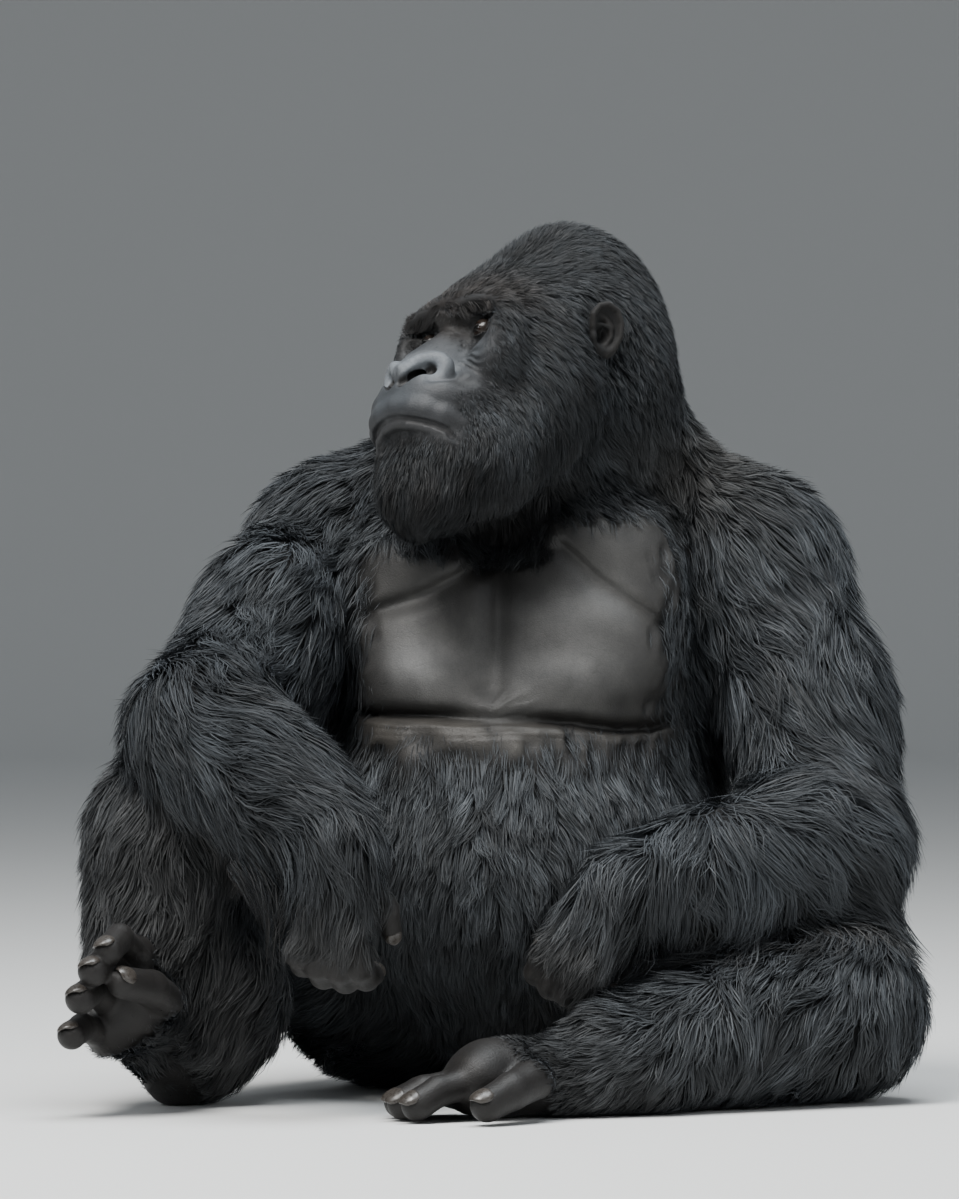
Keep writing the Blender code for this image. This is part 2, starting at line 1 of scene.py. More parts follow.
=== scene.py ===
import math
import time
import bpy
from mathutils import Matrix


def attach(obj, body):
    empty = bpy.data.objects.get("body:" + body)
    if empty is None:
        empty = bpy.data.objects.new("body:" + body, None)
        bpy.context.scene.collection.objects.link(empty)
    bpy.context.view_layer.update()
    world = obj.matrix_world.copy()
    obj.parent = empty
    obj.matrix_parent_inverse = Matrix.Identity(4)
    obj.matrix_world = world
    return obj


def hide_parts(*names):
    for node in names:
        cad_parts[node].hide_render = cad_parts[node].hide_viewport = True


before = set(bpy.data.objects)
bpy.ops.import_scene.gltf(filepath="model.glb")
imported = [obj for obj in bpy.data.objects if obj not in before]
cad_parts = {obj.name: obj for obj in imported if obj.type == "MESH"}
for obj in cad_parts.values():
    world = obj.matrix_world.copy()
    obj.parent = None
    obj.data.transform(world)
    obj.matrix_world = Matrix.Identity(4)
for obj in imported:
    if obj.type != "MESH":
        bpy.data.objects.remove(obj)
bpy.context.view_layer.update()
# A seated adult male mountain gorilla. The form is worked out by the functions below, in metres as
# drawn, and brought to its life size by to_world(). One skin stands for all the flesh; eyes, nails
# and the coat are pieces of their own.
from concurrent.futures import ThreadPoolExecutor

import bpy
import numpy as np
from mathutils import Vector
from mathutils.bvhtree import BVHTree
from mathutils.kdtree import KDTree

T0 = time.time()
LIFE = 1.10 / 1.20                             # life size over the drawing's
SITE = (0.00514, -0.11418)                     # the middle of the model's box, as drawn


def clock(what):
    print(f"[{time.time() - T0:6.1f} s] {what}", flush=True)


def to_world(p):
    return (np.asarray(p, float) - np.array([SITE[0], SITE[1], 0.0])) * LIFE


# ---------------------------------------------------------------- sizes
# Metres. +X is the animal's left, -Y the way it faces, +Z up; the floor is Z = 0.
HEAD_ORIGIN = (-0.0586, -0.185, 0.9155)       # midpoint between the eyes
HEAD_YAW, HEAD_PITCH, HEAD_ROLL = 46.6, 18.5, -14.4
TRUNK_YAW = 8.0                                # the chest turns to the animal's right
EYE_R = 0.0135
EYE_HALF = 0.047

JOINTS = {
    "shoulder_L": (0.318, 0.030, 0.638), "elbow_L": (0.400, -0.110, 0.305), "wrist_L": (0.140, -0.335, 0.262),
    "shoulder_R": (-0.208, 0.045, 0.652), "elbow_R": (-0.358, -0.270, 0.450), "wrist_R": (-0.188, -0.470, 0.318),
    "hip_L": (0.160, 0.060, 0.150), "knee_L": (0.410, -0.165, 0.110), "ankle_L": (0.120, -0.385, 0.074),
    "hip_R": (-0.130, 0.070, 0.160), "knee_R": (-0.385, -0.215, 0.325), "ankle_R": (-0.420, -0.278, 0.120),
}


def unit(v):
    v = np.asarray(v, float)
    return v / np.linalg.norm(v)


def turn(axis, degrees):
    """Rotation matrix about X, Y or Z."""
    c, s = math.cos(math.radians(degrees)), math.sin(math.radians(degrees))
    return {"x": np.array([[1, 0, 0], [0, c, -s], [0, s, c]]),
            "y": np.array([[c, 0, s], [0, 1, 0], [-s, 0, c]]),
            "z": np.array([[c, -s, 0], [s, c, 0], [0, 0, 1]])}[axis]


# columns: where the head's left, forward and up point in the world
HEAD_M = turn("y", HEAD_ROLL) @ turn("z", -HEAD_YAW) @ turn("x", -HEAD_PITCH) @ np.array([[1., 0, 0], [0, -1, 0], [0, 0, 1]])
TRUNK_M = turn("z", -TRUNK_YAW)
TRUNK_O = np.array([0.020, 0.030, 0.0])


def head_point(l, f, u):
    return np.array(HEAD_ORIGIN) + HEAD_M @ np.array([l, f, u])


# ---------------------------------------------------------------- distance fields
def f32(v):
    return np.asarray(v, np.float32)


def smin(a, b, k):
    h = np.maximum(k - np.abs(a - b), 0) / k
    return np.minimum(a, b) - h * h * k * 0.25


def smax(a, b, k):
    return -smin(-a, -b, k)


def cone(P, a, b, ra, rb):
    """Round limb from a to b whose radius runs from ra to rb."""
    a, b = f32(a), f32(b)
    ab = b - a
    t = np.clip((P - a) @ ab / float(ab @ ab), 0, 1)
    d = P - a - t[:, None] * ab
    return np.sqrt((d * d).sum(1)) - (ra + (rb - ra) * t)


def egg(P, c, r, M=None):
    """Ellipsoid at c with half-axes r, turned by M."""
    q = P - f32(c)
    if M is not None:
        q = q @ f32(M)
    q = q / f32(r)
    k0 = np.sqrt((q * q).sum(1)) + 1e-6
    k1 = np.sqrt(((q / f32(r)) ** 2).sum(1)) + 1e-6
    return k0 * (k0 - 1) / k1


def slab(P, c, half, r, M=None):
    """Box with rounded edges."""
    q = P - f32(c)
    if M is not None:
        q = q @ f32(M)
    q = np.abs(q) - (f32(half) - r)
    return np.sqrt((np.maximum(q, 0) ** 2).sum(1)) + np.minimum(q.max(1), 0) - r


def bump(P, c, r, M=None):
    """1 at c, falling smoothly to 0 at about the half-axes r."""
    q = P - f32(c)
    if M is not None:
        q = q @ f32(M)
    return np.exp(-1.6 * ((q / f32(r)) ** 2).sum(1))


def blend_all(fields, k):
    out = fields[0]
    for f in fields[1:]:
        out = smin(out, f, k)
    return out


def ramp(x, lo, hi):
    t = np.clip((x - lo) / (hi - lo), 0, 1)
    return t * t * (3 - 2 * t)


def trunk(P):
    Q = (P - f32(TRUNK_O)) @ f32(TRUNK_M)          # x left, -y front
    f = egg(Q, (0, 0.085, 0.165), (0.255, 0.225, 0.205))                 # pelvis
    f = smin(f, egg(Q, (-0.005, -0.050, 0.285), (0.262, 0.265, 0.225)), 0.09)    # belly
    f = smin(f, egg(Q, (0, 0.015, 0.500), (0.262, 0.225, 0.270)), 0.09)      # rib cage
    f = smin(f, egg(Q, (0.005, 0.115, 0.640), (0.270, 0.150, 0.165)), 0.08)   # upper back
    f = smin(f, egg(Q, (0, 0.100, 0.360), (0.245, 0.180, 0.230)), 0.08)       # loins
    f = smin(f, cone(Q, (-0.225, 0.03, 0.668), (0.240, 0.03, 0.665), 0.092, 0.092), 0.06)   # collar and shoulder blades
    for s, x, w in ((-1, -0.094, 0.122), (1, 0.104, 0.132)):                          # breast muscles
        pec = egg(Q, (x, -0.128, 0.590), (w, 0.086, 0.150), turn("z", s * 12.0) @ turn("x", -8.0))
        f = smin(f, smax(pec, 0.474 - Q[:, 2] + s * 0.02 * (Q[:, 0] - x), 0.030), 0.022)
    return f


def neck(P):
    f = cone(P, (0.045, 0.045, 0.650), head_point(0.0, -0.115, -0.055), 0.155, 0.112)
    f = smin(f, cone(P, (0.275, 0.045, 0.672), head_point(0.03, -0.165, 0.0), 0.072, 0.075), 0.06)     # left trapezius
    f = smin(f, cone(P, (-0.195, 0.06, 0.680), head_point(-0.03, -0.165, -0.02), 0.072, 0.075), 0.06)
    return f


def head(P):
    Q = (P - f32(HEAD_ORIGIN)) @ f32(HEAD_M)       # x left, y forward, z up
    A = Q.copy(); A[:, 0] = np.abs(A[:, 0])
    f = egg(Q, (0, -0.122, 0.014), (0.114, 0.130, 0.098))                           # brain case
    f = smin(f, egg(Q, (0, -0.210, 0.066), (0.080, 0.124, 0.109), turn("x", 18)), 0.06)    # crest
    f = smin(f, egg(Q, (0, -0.232, -0.030), (0.112, 0.101, 0.127)), 0.05)             # nape
    f = smin(f, egg(A, (0.066, -0.088, -0.060), (0.066, 0.078, 0.105)), 0.04)        # cheek fur
    f = smin(f, egg(A, (0.045, -0.025, -0.150), (0.066, 0.080, 0.074)), 0.04)        # jaw fur
    f = smin(f, egg(Q, (0, 0.040, -0.190), (0.078, 0.063, 0.068)), 0.045)            # beard
    f = smin(f, egg(Q, (0, 0.028, -0.096), (0.084, 0.068, 0.053)), 0.024)             # muzzle
    f = smin(f, cone(Q, (0, -0.025, -0.02), (0, 0.035, -0.070), 0.038, 0.044), 0.02)             # mid face
    f = smin(f, cone(A, (0, 0.004, 0.034), (0.074, -0.012, 0.031), 0.016, 0.015), 0.020)        # brow ridge
    f = smin(f, egg(A, (0.085, -0.014, -0.018), (0.023, 0.028, 0.052)), 0.020)               # outer rim of the orbit
    f = smin(f, egg(A, (0.068, -0.016, -0.042), (0.034, 0.036, 0.030)), 0.020)               # cheek bone
    # nose: a bridge, and a flat pad with wide flaring wings
    f = smin(f, cone(Q, (0, 0.012, -0.012), (0, 0.062, -0.052), 0.012, 0.016), 0.014)
    f = smin(f, cone(A, (0.004, 0.066, -0.064), (0.032, 0.044, -0.056), 0.0150, 0.0130), 0.008)
    f = smax(f, -cone(A, (0.009, 0.090, -0.0700), (0.034, 0.069, -0.0520), 0.0060, 0.0075), 0.004)
    # lips
    f = smin(f, smin(cone(A, (0, 0.084, -0.104), (0.034, 0.076, -0.110), 0.012, 0.011), cone(A, (0.034, 0.076, -0.110), (0.066, 0.036, -0.132), 0.011, 0.008), 0.006), 0.012)
    f = smin(f, smin(cone(A, (0, 0.074, -0.128), (0.032, 0.066, -0.133), 0.010, 0.010), cone(A, (0.032, 0.066, -0.133), (0.060, 0.036, -0.144), 0.010, 0.008), 0.006), 0.006)
    # eye sockets, and the lids over the eyes
    f = smax(f, -egg(A, (0.048, 0.016, 0.002), (0.025, 0.024, 0.017)), 0.010)
    f = smin(f, egg(A, (EYE_HALF, -0.012, 0.0), (EYE_R + 0.0035,) * 3), 0.006)
    return f


def upper_arm(P, s):
    S, E = np.array(JOINTS["shoulder_" + s]), np.array(JOINTS["elbow_" + s])
    big = {"L": 1.0, "R": 0.90}[s]
    f = egg(P, S, (0.112 * big, 0.112, 0.116 * big))
    f = smin(f, cone(P, S, E, 0.106 * big, 0.102 * big), 0.05)
    m = S * 0.45 + E * 0.55
    f = smin(f, egg(P, m + np.array([0.02 if s == "L" else 0.01, 0.03, 0.0]), (0.110 * big, 0.115, 0.150)), 0.05)
    return f


def forearm(P, s):
    E, W = np.array(JOINTS["elbow_" + s]), np.array(JOINTS["wrist_" + s])
    big = {"L": 1.0, "R": 0.90}[s]
    f = cone(P, E, W, 0.098 * big, 0.062)
    f = smin(f, cone(P, E * 0.90 + W * 0.10, E * 0.35 + W * 0.65, 0.102 * big, 0.082), 0.06)
    return f


def limb_frame(x, z_hint):
    x = unit(x)
    y = unit(np.cross(z_hint, x))
    return np.stack([x, y, np.cross(x, y)], 1)       # columns: along, sideways, back of the hand


def hand_frame(s):
    W = np.array(JOINTS["wrist_" + s])
    if s == "L":
        return W, limb_frame((-0.50, -0.10, -0.70), (-0.35, -0.80, 0.30))
    return W, limb_frame((-0.10, 0.10, -0.98), (-0.25, -0.95, 0.0))


FINGER_CURL = {"L": (38, 62, 45), "R": (22, 40, 30)}


def hand_segments(s):
    """Centre lines and radii of the finger bones, in world coordinates."""
    O, M = hand_frame(s)
    out = []
    for i, (y, l, r) in enumerate(((-0.036, 0.90, 0.0165), (-0.012, 1.0, 0.0175), (0.013, 0.98, 0.0172), (0.036, 0.82, 0.0150))):
        y = y if s == "L" else -y
        p, a = np.array([0.098, y, 0.004]), 0.0
        spread = y * 0.8
        for n, (seg, rr) in enumerate(((0.050, 1.0), (0.036, 0.97), (0.027, 0.92))):
            a += math.radians(FINGER_CURL[s][n])
            q = p + seg * l * np.array([math.cos(a), spread, -math.sin(a)])
            out.append((O + M @ p, O + M @ q, r * rr, r * (rr - 0.06), i, n))
            p = q
    t = -1 if s == "L" else 1
    p = np.array([0.030, t * 0.036, -0.012])
    for n, d in enumerate(((0.040, t * 0.022, -0.018), (0.028, t * 0.004, -0.014))):
        q = p + np.array(d)
        out.append((O + M @ p, O + M @ q, 0.0165 - 0.002 * n, 0.0150 - 0.002 * n, 4, n))
        p = q
    return out


def hand(P, s):
    O, M = hand_frame(s)
    f = egg(P, O + M @ np.array([0.055, 0, 0]), (0.066, 0.052, 0.033), M)
    f = smin(f, cone(P, O, O + M @ np.array([0.04, 0, 0]), 0.044, 0.036), 0.02)
    for a, b, ra, rb, i, n in hand_segments(s):
        f = smin(f, cone(P, a, b, ra, rb), 0.006)
    return f


def thigh(P, s):
    H, K = np.array(JOINTS["hip_" + s]), np.array(JOINTS["knee_" + s])
    f = cone(P, H, K, 0.165, 0.108)
    return f


def shin(P, s):
    K, A = np.array(JOINTS["knee_" + s]), np.array(JOINTS["ankle_" + s])
    f = cone(P, K, A, 0.104, 0.060)
    f = smin(f, cone(P, K * 0.9 + A * 0.1, K * 0.3 + A * 0.7, 0.100, 0.076), 0.06)
    if s == "R":
        f = smin(f, egg(P, (-0.338, -0.205, 0.132), (0.098, 0.098, 0.118)), 0.04)      # calf, down to the heel
    return f


# The right foot points forward, rolled onto its outer edge with the toes curled; the left
# one lies flat. Each toe is a chain from the ball of the foot to its tip.
TOES = {
    "R": [((-0.426, -0.375, 0.186), (-0.442, -0.420, 0.208), (-0.453, -0.454, 0.196), 0.0175),
          ((-0.440, -0.375, 0.158), (-0.459, -0.425, 0.180), (-0.470, -0.462, 0.172), 0.0180),
          ((-0.452, -0.368, 0.126), (-0.474, -0.420, 0.148), (-0.485, -0.458, 0.140), 0.0178),
          ((-0.460, -0.358, 0.090), (-0.486, -0.408, 0.104), (-0.496, -0.444, 0.097), 0.0168)],
    "L": [((-0.028, -0.470, 0.046), (-0.072, -0.494, 0.036), (-0.096, -0.508, 0.021), 0.0185),
          ((-0.040, -0.448, 0.042), (-0.088, -0.464, 0.034), (-0.112, -0.474, 0.020), 0.0190),
          ((-0.048, -0.422, 0.037), (-0.094, -0.432, 0.031), (-0.117, -0.438, 0.019), 0.0180),
          ((-0.052, -0.396, 0.032), (-0.092, -0.400, 0.027), (-0.112, -0.402, 0.018), 0.0170)],
}
GREAT_TOE = {"R": ((-0.388, -0.350, 0.130), (-0.406, -0.410, 0.150), (-0.436, -0.448, 0.158), 0.0205),
             "L": ((0.040, -0.480, 0.050), (0.012, -0.522, 0.038), (-0.016, -0.548, 0.024), 0.0215)}
HEEL = {"R": (-0.378, -0.225, 0.047), "L": (0.170, -0.372, 0.050)}
BALL = {"R": (-0.432, -0.348, 0.124), "L": (-0.012, -0.438, 0.048)}


def foot(P, s):
    A, Hh, B = JOINTS["ankle_" + s], np.array(HEEL[s]), np.array(BALL[s])
    f = cone(P, Hh, B, 0.046, 0.046)
    f = smin(f, cone(P, A, Hh * 0.6 + B * 0.4, 0.056, 0.048), 0.03)
    f = smin(f, cone(P, Hh, Hh + (B - Hh) * 0.1, 0.050, 0.048), 0.02)
    first, last = np.array(TOES[s][0][0]), np.array(TOES[s][3][0])
    f = smin(f, cone(P, first, last, 0.026, 0.024), 0.03)
    for a, b, c, r in TOES[s]:
        f = smin(f, smin(cone(P, a, b, r * 1.02, r * 0.95), cone(P, b, c, r * 0.95, r), 0.004), 0.006)
    a, b, c, r = GREAT_TOE[s]
    f = smin(f, smin(cone(P, a, b, r * 1.15, r), cone(P, b, c, r, r * 0.92), 0.005), 0.010)
    return f


def ear(P, s):
    """Small round ear, close to the head: a curled rim round a dished inner face."""
    d = 1 if s == "L" else -1
    C = head_point(d * 0.110, -0.149, 0.006)
    M = HEAD_M @ turn("z", -d * 24.0) @ turn("y", d * 10.0)
    Q = (P - f32(C)) @ f32(M)
    Q = Q * f32([d, 1, 1])                       # x out, y forward, z up
    f = egg(Q, (0.006, -0.004, 0.0), (0.014, 0.024, 0.037))
    f = smax(f, -egg(Q, (0.024, 0.003, 0.002), (0.0160, 0.0165, 0.028)), 0.004)
    return f


ANKLE_NORMAL = {"L": (-0.9, -0.35, -0.25), "R": (-0.10, -0.75, -0.65)}
PARTS = {"trunk": trunk, "neck": neck, "head": head}
for _s in "LR":
    for _n, _f in (("upper_arm", upper_arm), ("forearm", forearm), ("hand", hand), ("thigh", thigh), ("shin", shin), ("foot", foot)):
        PARTS[f"{_n}_{_s}"] = (lambda P, g=_f, s=_s: g(P, s))
SHOULDER_K, HIP_K = 0.070, 0.060


def near(P, c, lo, hi):
    d = np.sqrt(((P - f32(c)) ** 2).sum(1))
    return 1 - ramp(d, lo, hi)


def all_parts(P):
    return {n: g(P) for n, g in PARTS.items()}


def union(P, F):
    """The whole outer form: the parts joined softly at their joints and creased where they only touch."""
    f = smin(F["trunk"], F["neck"], 0.06)
    f = smin(f, F["head"], 0.030)
    for d in (-1, 1):                                                    # hollows in the coat round the ears
        f = smax(f, -egg(P, head_point(d * 0.136, -0.150, 0.004), (0.026, 0.038, 0.050), HEAD_M), 0.018)
    for s in "LR":
        arm = smin(F["upper_arm_" + s], F["forearm_" + s], 0.030)
        arm = smin(arm, F["hand_" + s], 0.020)
        f = smin(f, arm, 0.008 + (SHOULDER_K - 0.008) * near(P, JOINTS["shoulder_" + s], 0.10, 0.26))
        leg = smin(F["thigh_" + s], F["shin_" + s], 0.022)
        leg = smin(leg, F["foot_" + s], 0.018)
        f = smin(f, leg, 0.008 + (HIP_K - 0.008) * near(P, JOINTS["hip_" + s], 0.10, 0.26))
    return f


# ---------------------------------------------------------------- evaluation in blocks
HAND_O = {s: np.array(JOINTS["wrist_" + s]) for s in "LR"}


def span(a, b, r):
    return np.array(a, float), np.array(b, float), r


REACH = {"trunk": span((0.02, 0.06, 0.20), (0.02, 0.06, 0.62), 0.40), "neck": span((0.045, 0.045, 0.66), head_point(0, -0.13, -0.04), 0.34),
         "head": span(head_point(0, -0.06, -0.15), head_point(0, -0.18, 0.06), 0.27)}
for _s in "LR":
    _j = {k: np.array(JOINTS[k + "_" + _s]) for k in ("shoulder", "elbow", "wrist", "hip", "knee", "ankle")}
    REACH["upper_arm_" + _s] = span(_j["shoulder"], _j["elbow"], 0.20)
    REACH["forearm_" + _s] = span(_j["elbow"], _j["wrist"], 0.13)
    REACH["hand_" + _s] = span(_j["wrist"], _j["wrist"] + hand_frame(_s)[1] @ np.array([0.17, 0, -0.05]), 0.10)
    REACH["thigh_" + _s] = span(_j["hip"], _j["knee"], 0.18)
    REACH["shin_" + _s] = span(_j["knee"], _j["ankle"], 0.13)
    REACH["foot_" + _s] = span(_j["ankle"], BALL[_s], 0.17)
NAMES = list(PARTS)
BLOCK = 0.10


def gap_to(c, reach):
    a, b, r = reach
    ab = b - a
    t = np.clip((c - a) @ ab / max(float(ab @ ab), 1e-9), 0, 1)
    return np.linalg.norm(c - a - t * ab) - r


def in_blocks(fn, P, width):
    """fn(points, names of the parts near them) over all points, a block of space at a time."""
    P = np.asarray(P, np.float32)
    out = np.empty((len(P), width) if width > 1 else len(P), np.float32)
    if not len(P):
        return out
    cell = np.floor((P + 2.0) / BLOCK).astype(np.int64)
    key = (cell[:, 0] * 1000 + cell[:, 1]) * 1000 + cell[:, 2]
    order = np.argsort(key, kind="stable")
    sorted_key = key[order]
    starts = np.flatnonzero(np.r_[True, sorted_key[1:] != sorted_key[:-1]])
    ends = np.r_[starts[1:], len(order)]
    jobs = []
    for s, e in zip(starts, ends):
        for k in range(s, e, 40000):
            jobs.append(order[k:min(k + 40000, e)])

    def work(rows):
        q = P[rows]
        c = (q.min(0) + q.max(0)) / 2
        half = float(np.linalg.norm(q.max(0) - c))
        near_by = [n for n in NAMES if gap_to(c, REACH[n]) - half < 0.10]
        out[rows] = fn(q, near_by)

    with ThreadPoolExecutor(4) as pool:
        list(pool.map(work, jobs))
    return out


def parts_at(P, names):
    far = np.full(len(P), 0.6, np.float32)
    return {n: (PARTS[n](P) if n in names else far) for n in NAMES}


# ---------------------------------------------------------------- coat depth and bare places
DEPTH = {"trunk": 0.020, "neck": 0.018, "head": 0.0125, "upper_arm_L": 0.027, "upper_arm_R": 0.025, "forearm_L": 0.030, "forearm_R": 0.028,
         "hand_L": 0.010, "hand_R": 0.011, "thigh_L": 0.022, "thigh_R": 0.022, "shin_L": 0.022, "shin_R": 0.020, "foot_L": 0.007, "foot_R": 0.010}


def head_frame(P):
    return (P - f32(HEAD_ORIGIN)) @ f32(HEAD_M)


def trunk_frame(P):
    return (P - f32(TRUNK_O)) @ f32(TRUNK_M)


FACE_EDGE = ((-0.200, 0.056), (-0.160, 0.062), (-0.150, 0.069), (-0.138, 0.073), (-0.122, 0.074), (-0.108, 0.076), (-0.090, 0.078), (-0.067, 0.080), (-0.045, 0.085),
             (-0.033, 0.087), (-0.010, 0.083), (0.002, 0.078), (0.011, 0.067), (0.0175, 0.046), (0.022, 0.020), (0.030, -0.014), (0.050, -0.090))
FACE_LOW = ((0, -0.1330), (0.020, -0.1350), (0.0415, -0.1405), (0.060, -0.1475), (0.080, -0.1510))


def past_face(Q):
    """How far outside the bare face a place lies, sideways or below the lip; negative on it."""
    u, w = np.array(FACE_EDGE).T
    x, low = np.array(FACE_LOW).T
    side = np.abs(Q[:, 0])
    return np.maximum(side - np.interp(Q[:, 2], u, w), np.interp(side, x, low) - Q[:, 2])


def face_bare(Q):
    """1 on the bare face, 0 in the fur."""
    m = 1 - ramp(past_face(Q) + 0.0025 * waves(Q, 0.03, 61) + 0.0035 * waves(Q, 0.011, 64) * ramp(Q[:, 2], -0.01, 0.02), -0.012, 0.014)
    return m * ramp(Q[:, 1], -0.060, -0.035)


def head_depth(Q):
    """The coat is shortest round the face and on the brow, longer on the cheeks, beard and nape."""
    brow = np.exp(-((Q[:, 2] - 0.052) / 0.032) ** 2) * ramp(Q[:, 1], -0.11, -0.03)
    full = 0.0125 + 0.0035 * ramp(-Q[:, 2], 0.10, 0.20) - 0.0098 * brow
    close = 0.0016 + 0.30 * np.maximum(past_face(Q), 0)
    front = ramp(Q[:, 1], -0.090, -0.050)
    return full + (np.minimum(full, close) - full) * front


def chest_bare(P):
    Q = trunk_frame(P)
    x, z = Q[:, 0], Q[:, 2]
    drift = 0.010 * waves(Q, 0.06, 62) + 0.005 * waves(Q, 0.022, 63)
    top = np.interp(x, (-0.20, -0.10, -0.03, 0.03, 0.09, 0.16, 0.24), (0.640, 0.668, 0.640, 0.640, 0.690, 0.712, 0.690))
    m = ramp(z + drift, 0.374, 0.454) * (1 - ramp(z + drift - top, -0.020, 0.030))
    m *= 1 - ramp(np.where(x > 0, (x - 0.214) * 1.0, -x - 0.172) + drift, -0.026, 0.020)
    return m * ramp(-Q[:, 1], 0.02, 0.08)


def limb_end_bare(P, s):
    """(bare share, whether it is here at all) for the hand and foot of one side."""
    O, M = hand_frame(s)
    q = (P - f32(O)) @ f32(M)
    hand_fur = (1 - ramp(q[:, 0], 0.090, 0.130)) * ramp(q[:, 2], -0.026, 0.000)
    H, B = np.array(HEEL[s]), np.array(BALL[s])
    t = ((P - f32(H)) @ f32(B - H)) / float((B - H) @ (B - H))
    A = np.array(JOINTS["ankle_" + s])
    up = unit(A - (H * 0.6 + B * 0.4))
    lift = (P - f32(H * 0.5 + B * 0.5)) @ f32(up)
    foot_fur = (1 - ramp(t, 0.72, 1.00)) * ramp(lift, -0.056, -0.026)
    return 1 - hand_fur, 1 - foot_fur


def bare_share(P, F):
    own = {"head": face_bare(head_frame(P)), "trunk": chest_bare(P)}
    own["neck"] = own["trunk"]
    for s in "LR":
        own["hand_" + s], own["foot_" + s] = limb_end_bare(P, s)
    return own


def part_weights(F):
    V = np.stack([F[n] for n in NAMES], 1)
    W = np.exp(-(V - V.min(1, keepdims=True)) / 0.014)
    return W / W.sum(1, keepdims=True)


def outer_and_depth(P, names):
    F = parts_at(P, names)
    whole = union(P, F)
    W = part_weights(F)
    own = bare_share(P, F)
    depth = np.zeros(len(P), np.float32)
    bare = np.zeros(len(P), np.float32)
    for i, n in enumerate(NAMES):
        b = own.get(n, 0.0)
        depth += W[:, i] * (head_depth(head_frame(P)) if n == "head" else DEPTH[n]) * (1 - b)
        bare += W[:, i] * b
    # the coat is shorter over the pate and longest at the beard and nape
    return F, whole, depth, bare, W


# ---------------------------------------------------------------- fine form of the face, ears and chest
def waves(P, size, seed, count=7):
    """Smooth noise between about -1 and 1: a sum of plane waves whose lengths are near size."""
    rng = np.random.default_rng(seed)
    out = np.zeros(len(P), np.float32)
    for _ in range(count):
        k = rng.normal(size=3)
        k *= 2 * math.pi / (size * rng.uniform(0.7, 1.5)) / np.linalg.norm(k)
        out += np.sin(P @ f32(k) + np.float32(rng.uniform(0, 6.28)))
    return out / math.sqrt(count / 2) / 1.4


def to_path(Q, pts):
    """Distance to a chain of points."""
    best = None
    for a, b in zip(pts, pts[1:]):
        d = cone(Q, a, b, 0.0, 0.0)
        best = d if best is None else np.minimum(best, d)
    return best


def groove(Q, pts, width, depth):
    d = to_path(Q, pts)
    return depth * np.exp(-(d / width) ** 2)


def rounded(knots, count):
    """A smooth chain of points through the knots."""
    K = np.array(knots, float)
    K = np.concatenate([2 * K[:1] - K[1:2], K, 2 * K[-1:] - K[-2:-1]])
    out = []
    for t in np.linspace(0, len(knots) - 1 - 1e-6, count):
        i = int(t); u = t - i
        p0, p1, p2, p3 = K[i:i + 4]
        out.append(0.5 * (2 * p1 + (p2 - p0) * u + (2 * p0 - 5 * p1 + 4 * p2 - p3) * u * u + (3 * p1 - p0 - 3 * p2 + p3) * u ** 3))
    return np.array(out)


NOSE_RING = rounded(((0.0050, 0.0735, -0.0815, 0.0046), (0.0045, 0.0795, -0.0650, 0.0056), (0.0135, 0.0745, -0.0500, 0.0064), (0.0265, 0.0655, -0.0445, 0.0074), (0.0395, 0.0560, -0.0450, 0.0086),
                     (0.0480, 0.0515, -0.0540, 0.0095), (0.0480, 0.0530, -0.0660, 0.0092), (0.0405, 0.0600, -0.0750, 0.0078), (0.0260, 0.0680, -0.0800, 0.0060), (0.0100, 0.0735, -0.0825, 0.0048)), 22)
MOUTH = ((0, 0.0975, -0.1180), (0.0100, 0.0970, -0.1184), (0.0255, 0.0925, -0.1215), (0.0412, 0.0850, -0.1258), (0.0533, 0.0755, -0.1310), (0.0630, 0.0655, -0.1375), (0.0665, 0.0605, -0.1450))
UPPER_LIP = ((0, 0.0850, -0.1062), (0.0255, 0.0818, -0.1090), (0.0412, 0.0750, -0.1132), (0.0560, 0.0630, -0.1195), (0.0700, 0.0460, -0.1290))
LOWER_LIP = ((0, 0.0890, -0.1245), (0.0199, 0.0862, -0.1268), (0.0415, 0.0765, -0.1330), (0.0600, 0.0630, -0.1415))
BROW = ((0.0300, 0.0140, 0.0280), (0.0423, 0.0113, 0.0332), (0.0551, 0.0079, 0.0335), (0.0707, 0.0050, 0.0285), (0.0850, 0.0020, 0.0170))
LID_L, LID_U = 0.0485, -0.0025                     # middle of the opening between the lids


def lid_frame(A, Q):
    """Sideways, upward and the arch of the opening between the lids."""
    l = A[:, 0] - LID_L
    return l, Q[:, 2] - LID_U - 0.16 * l, 1 - (l / 0.0140) ** 2


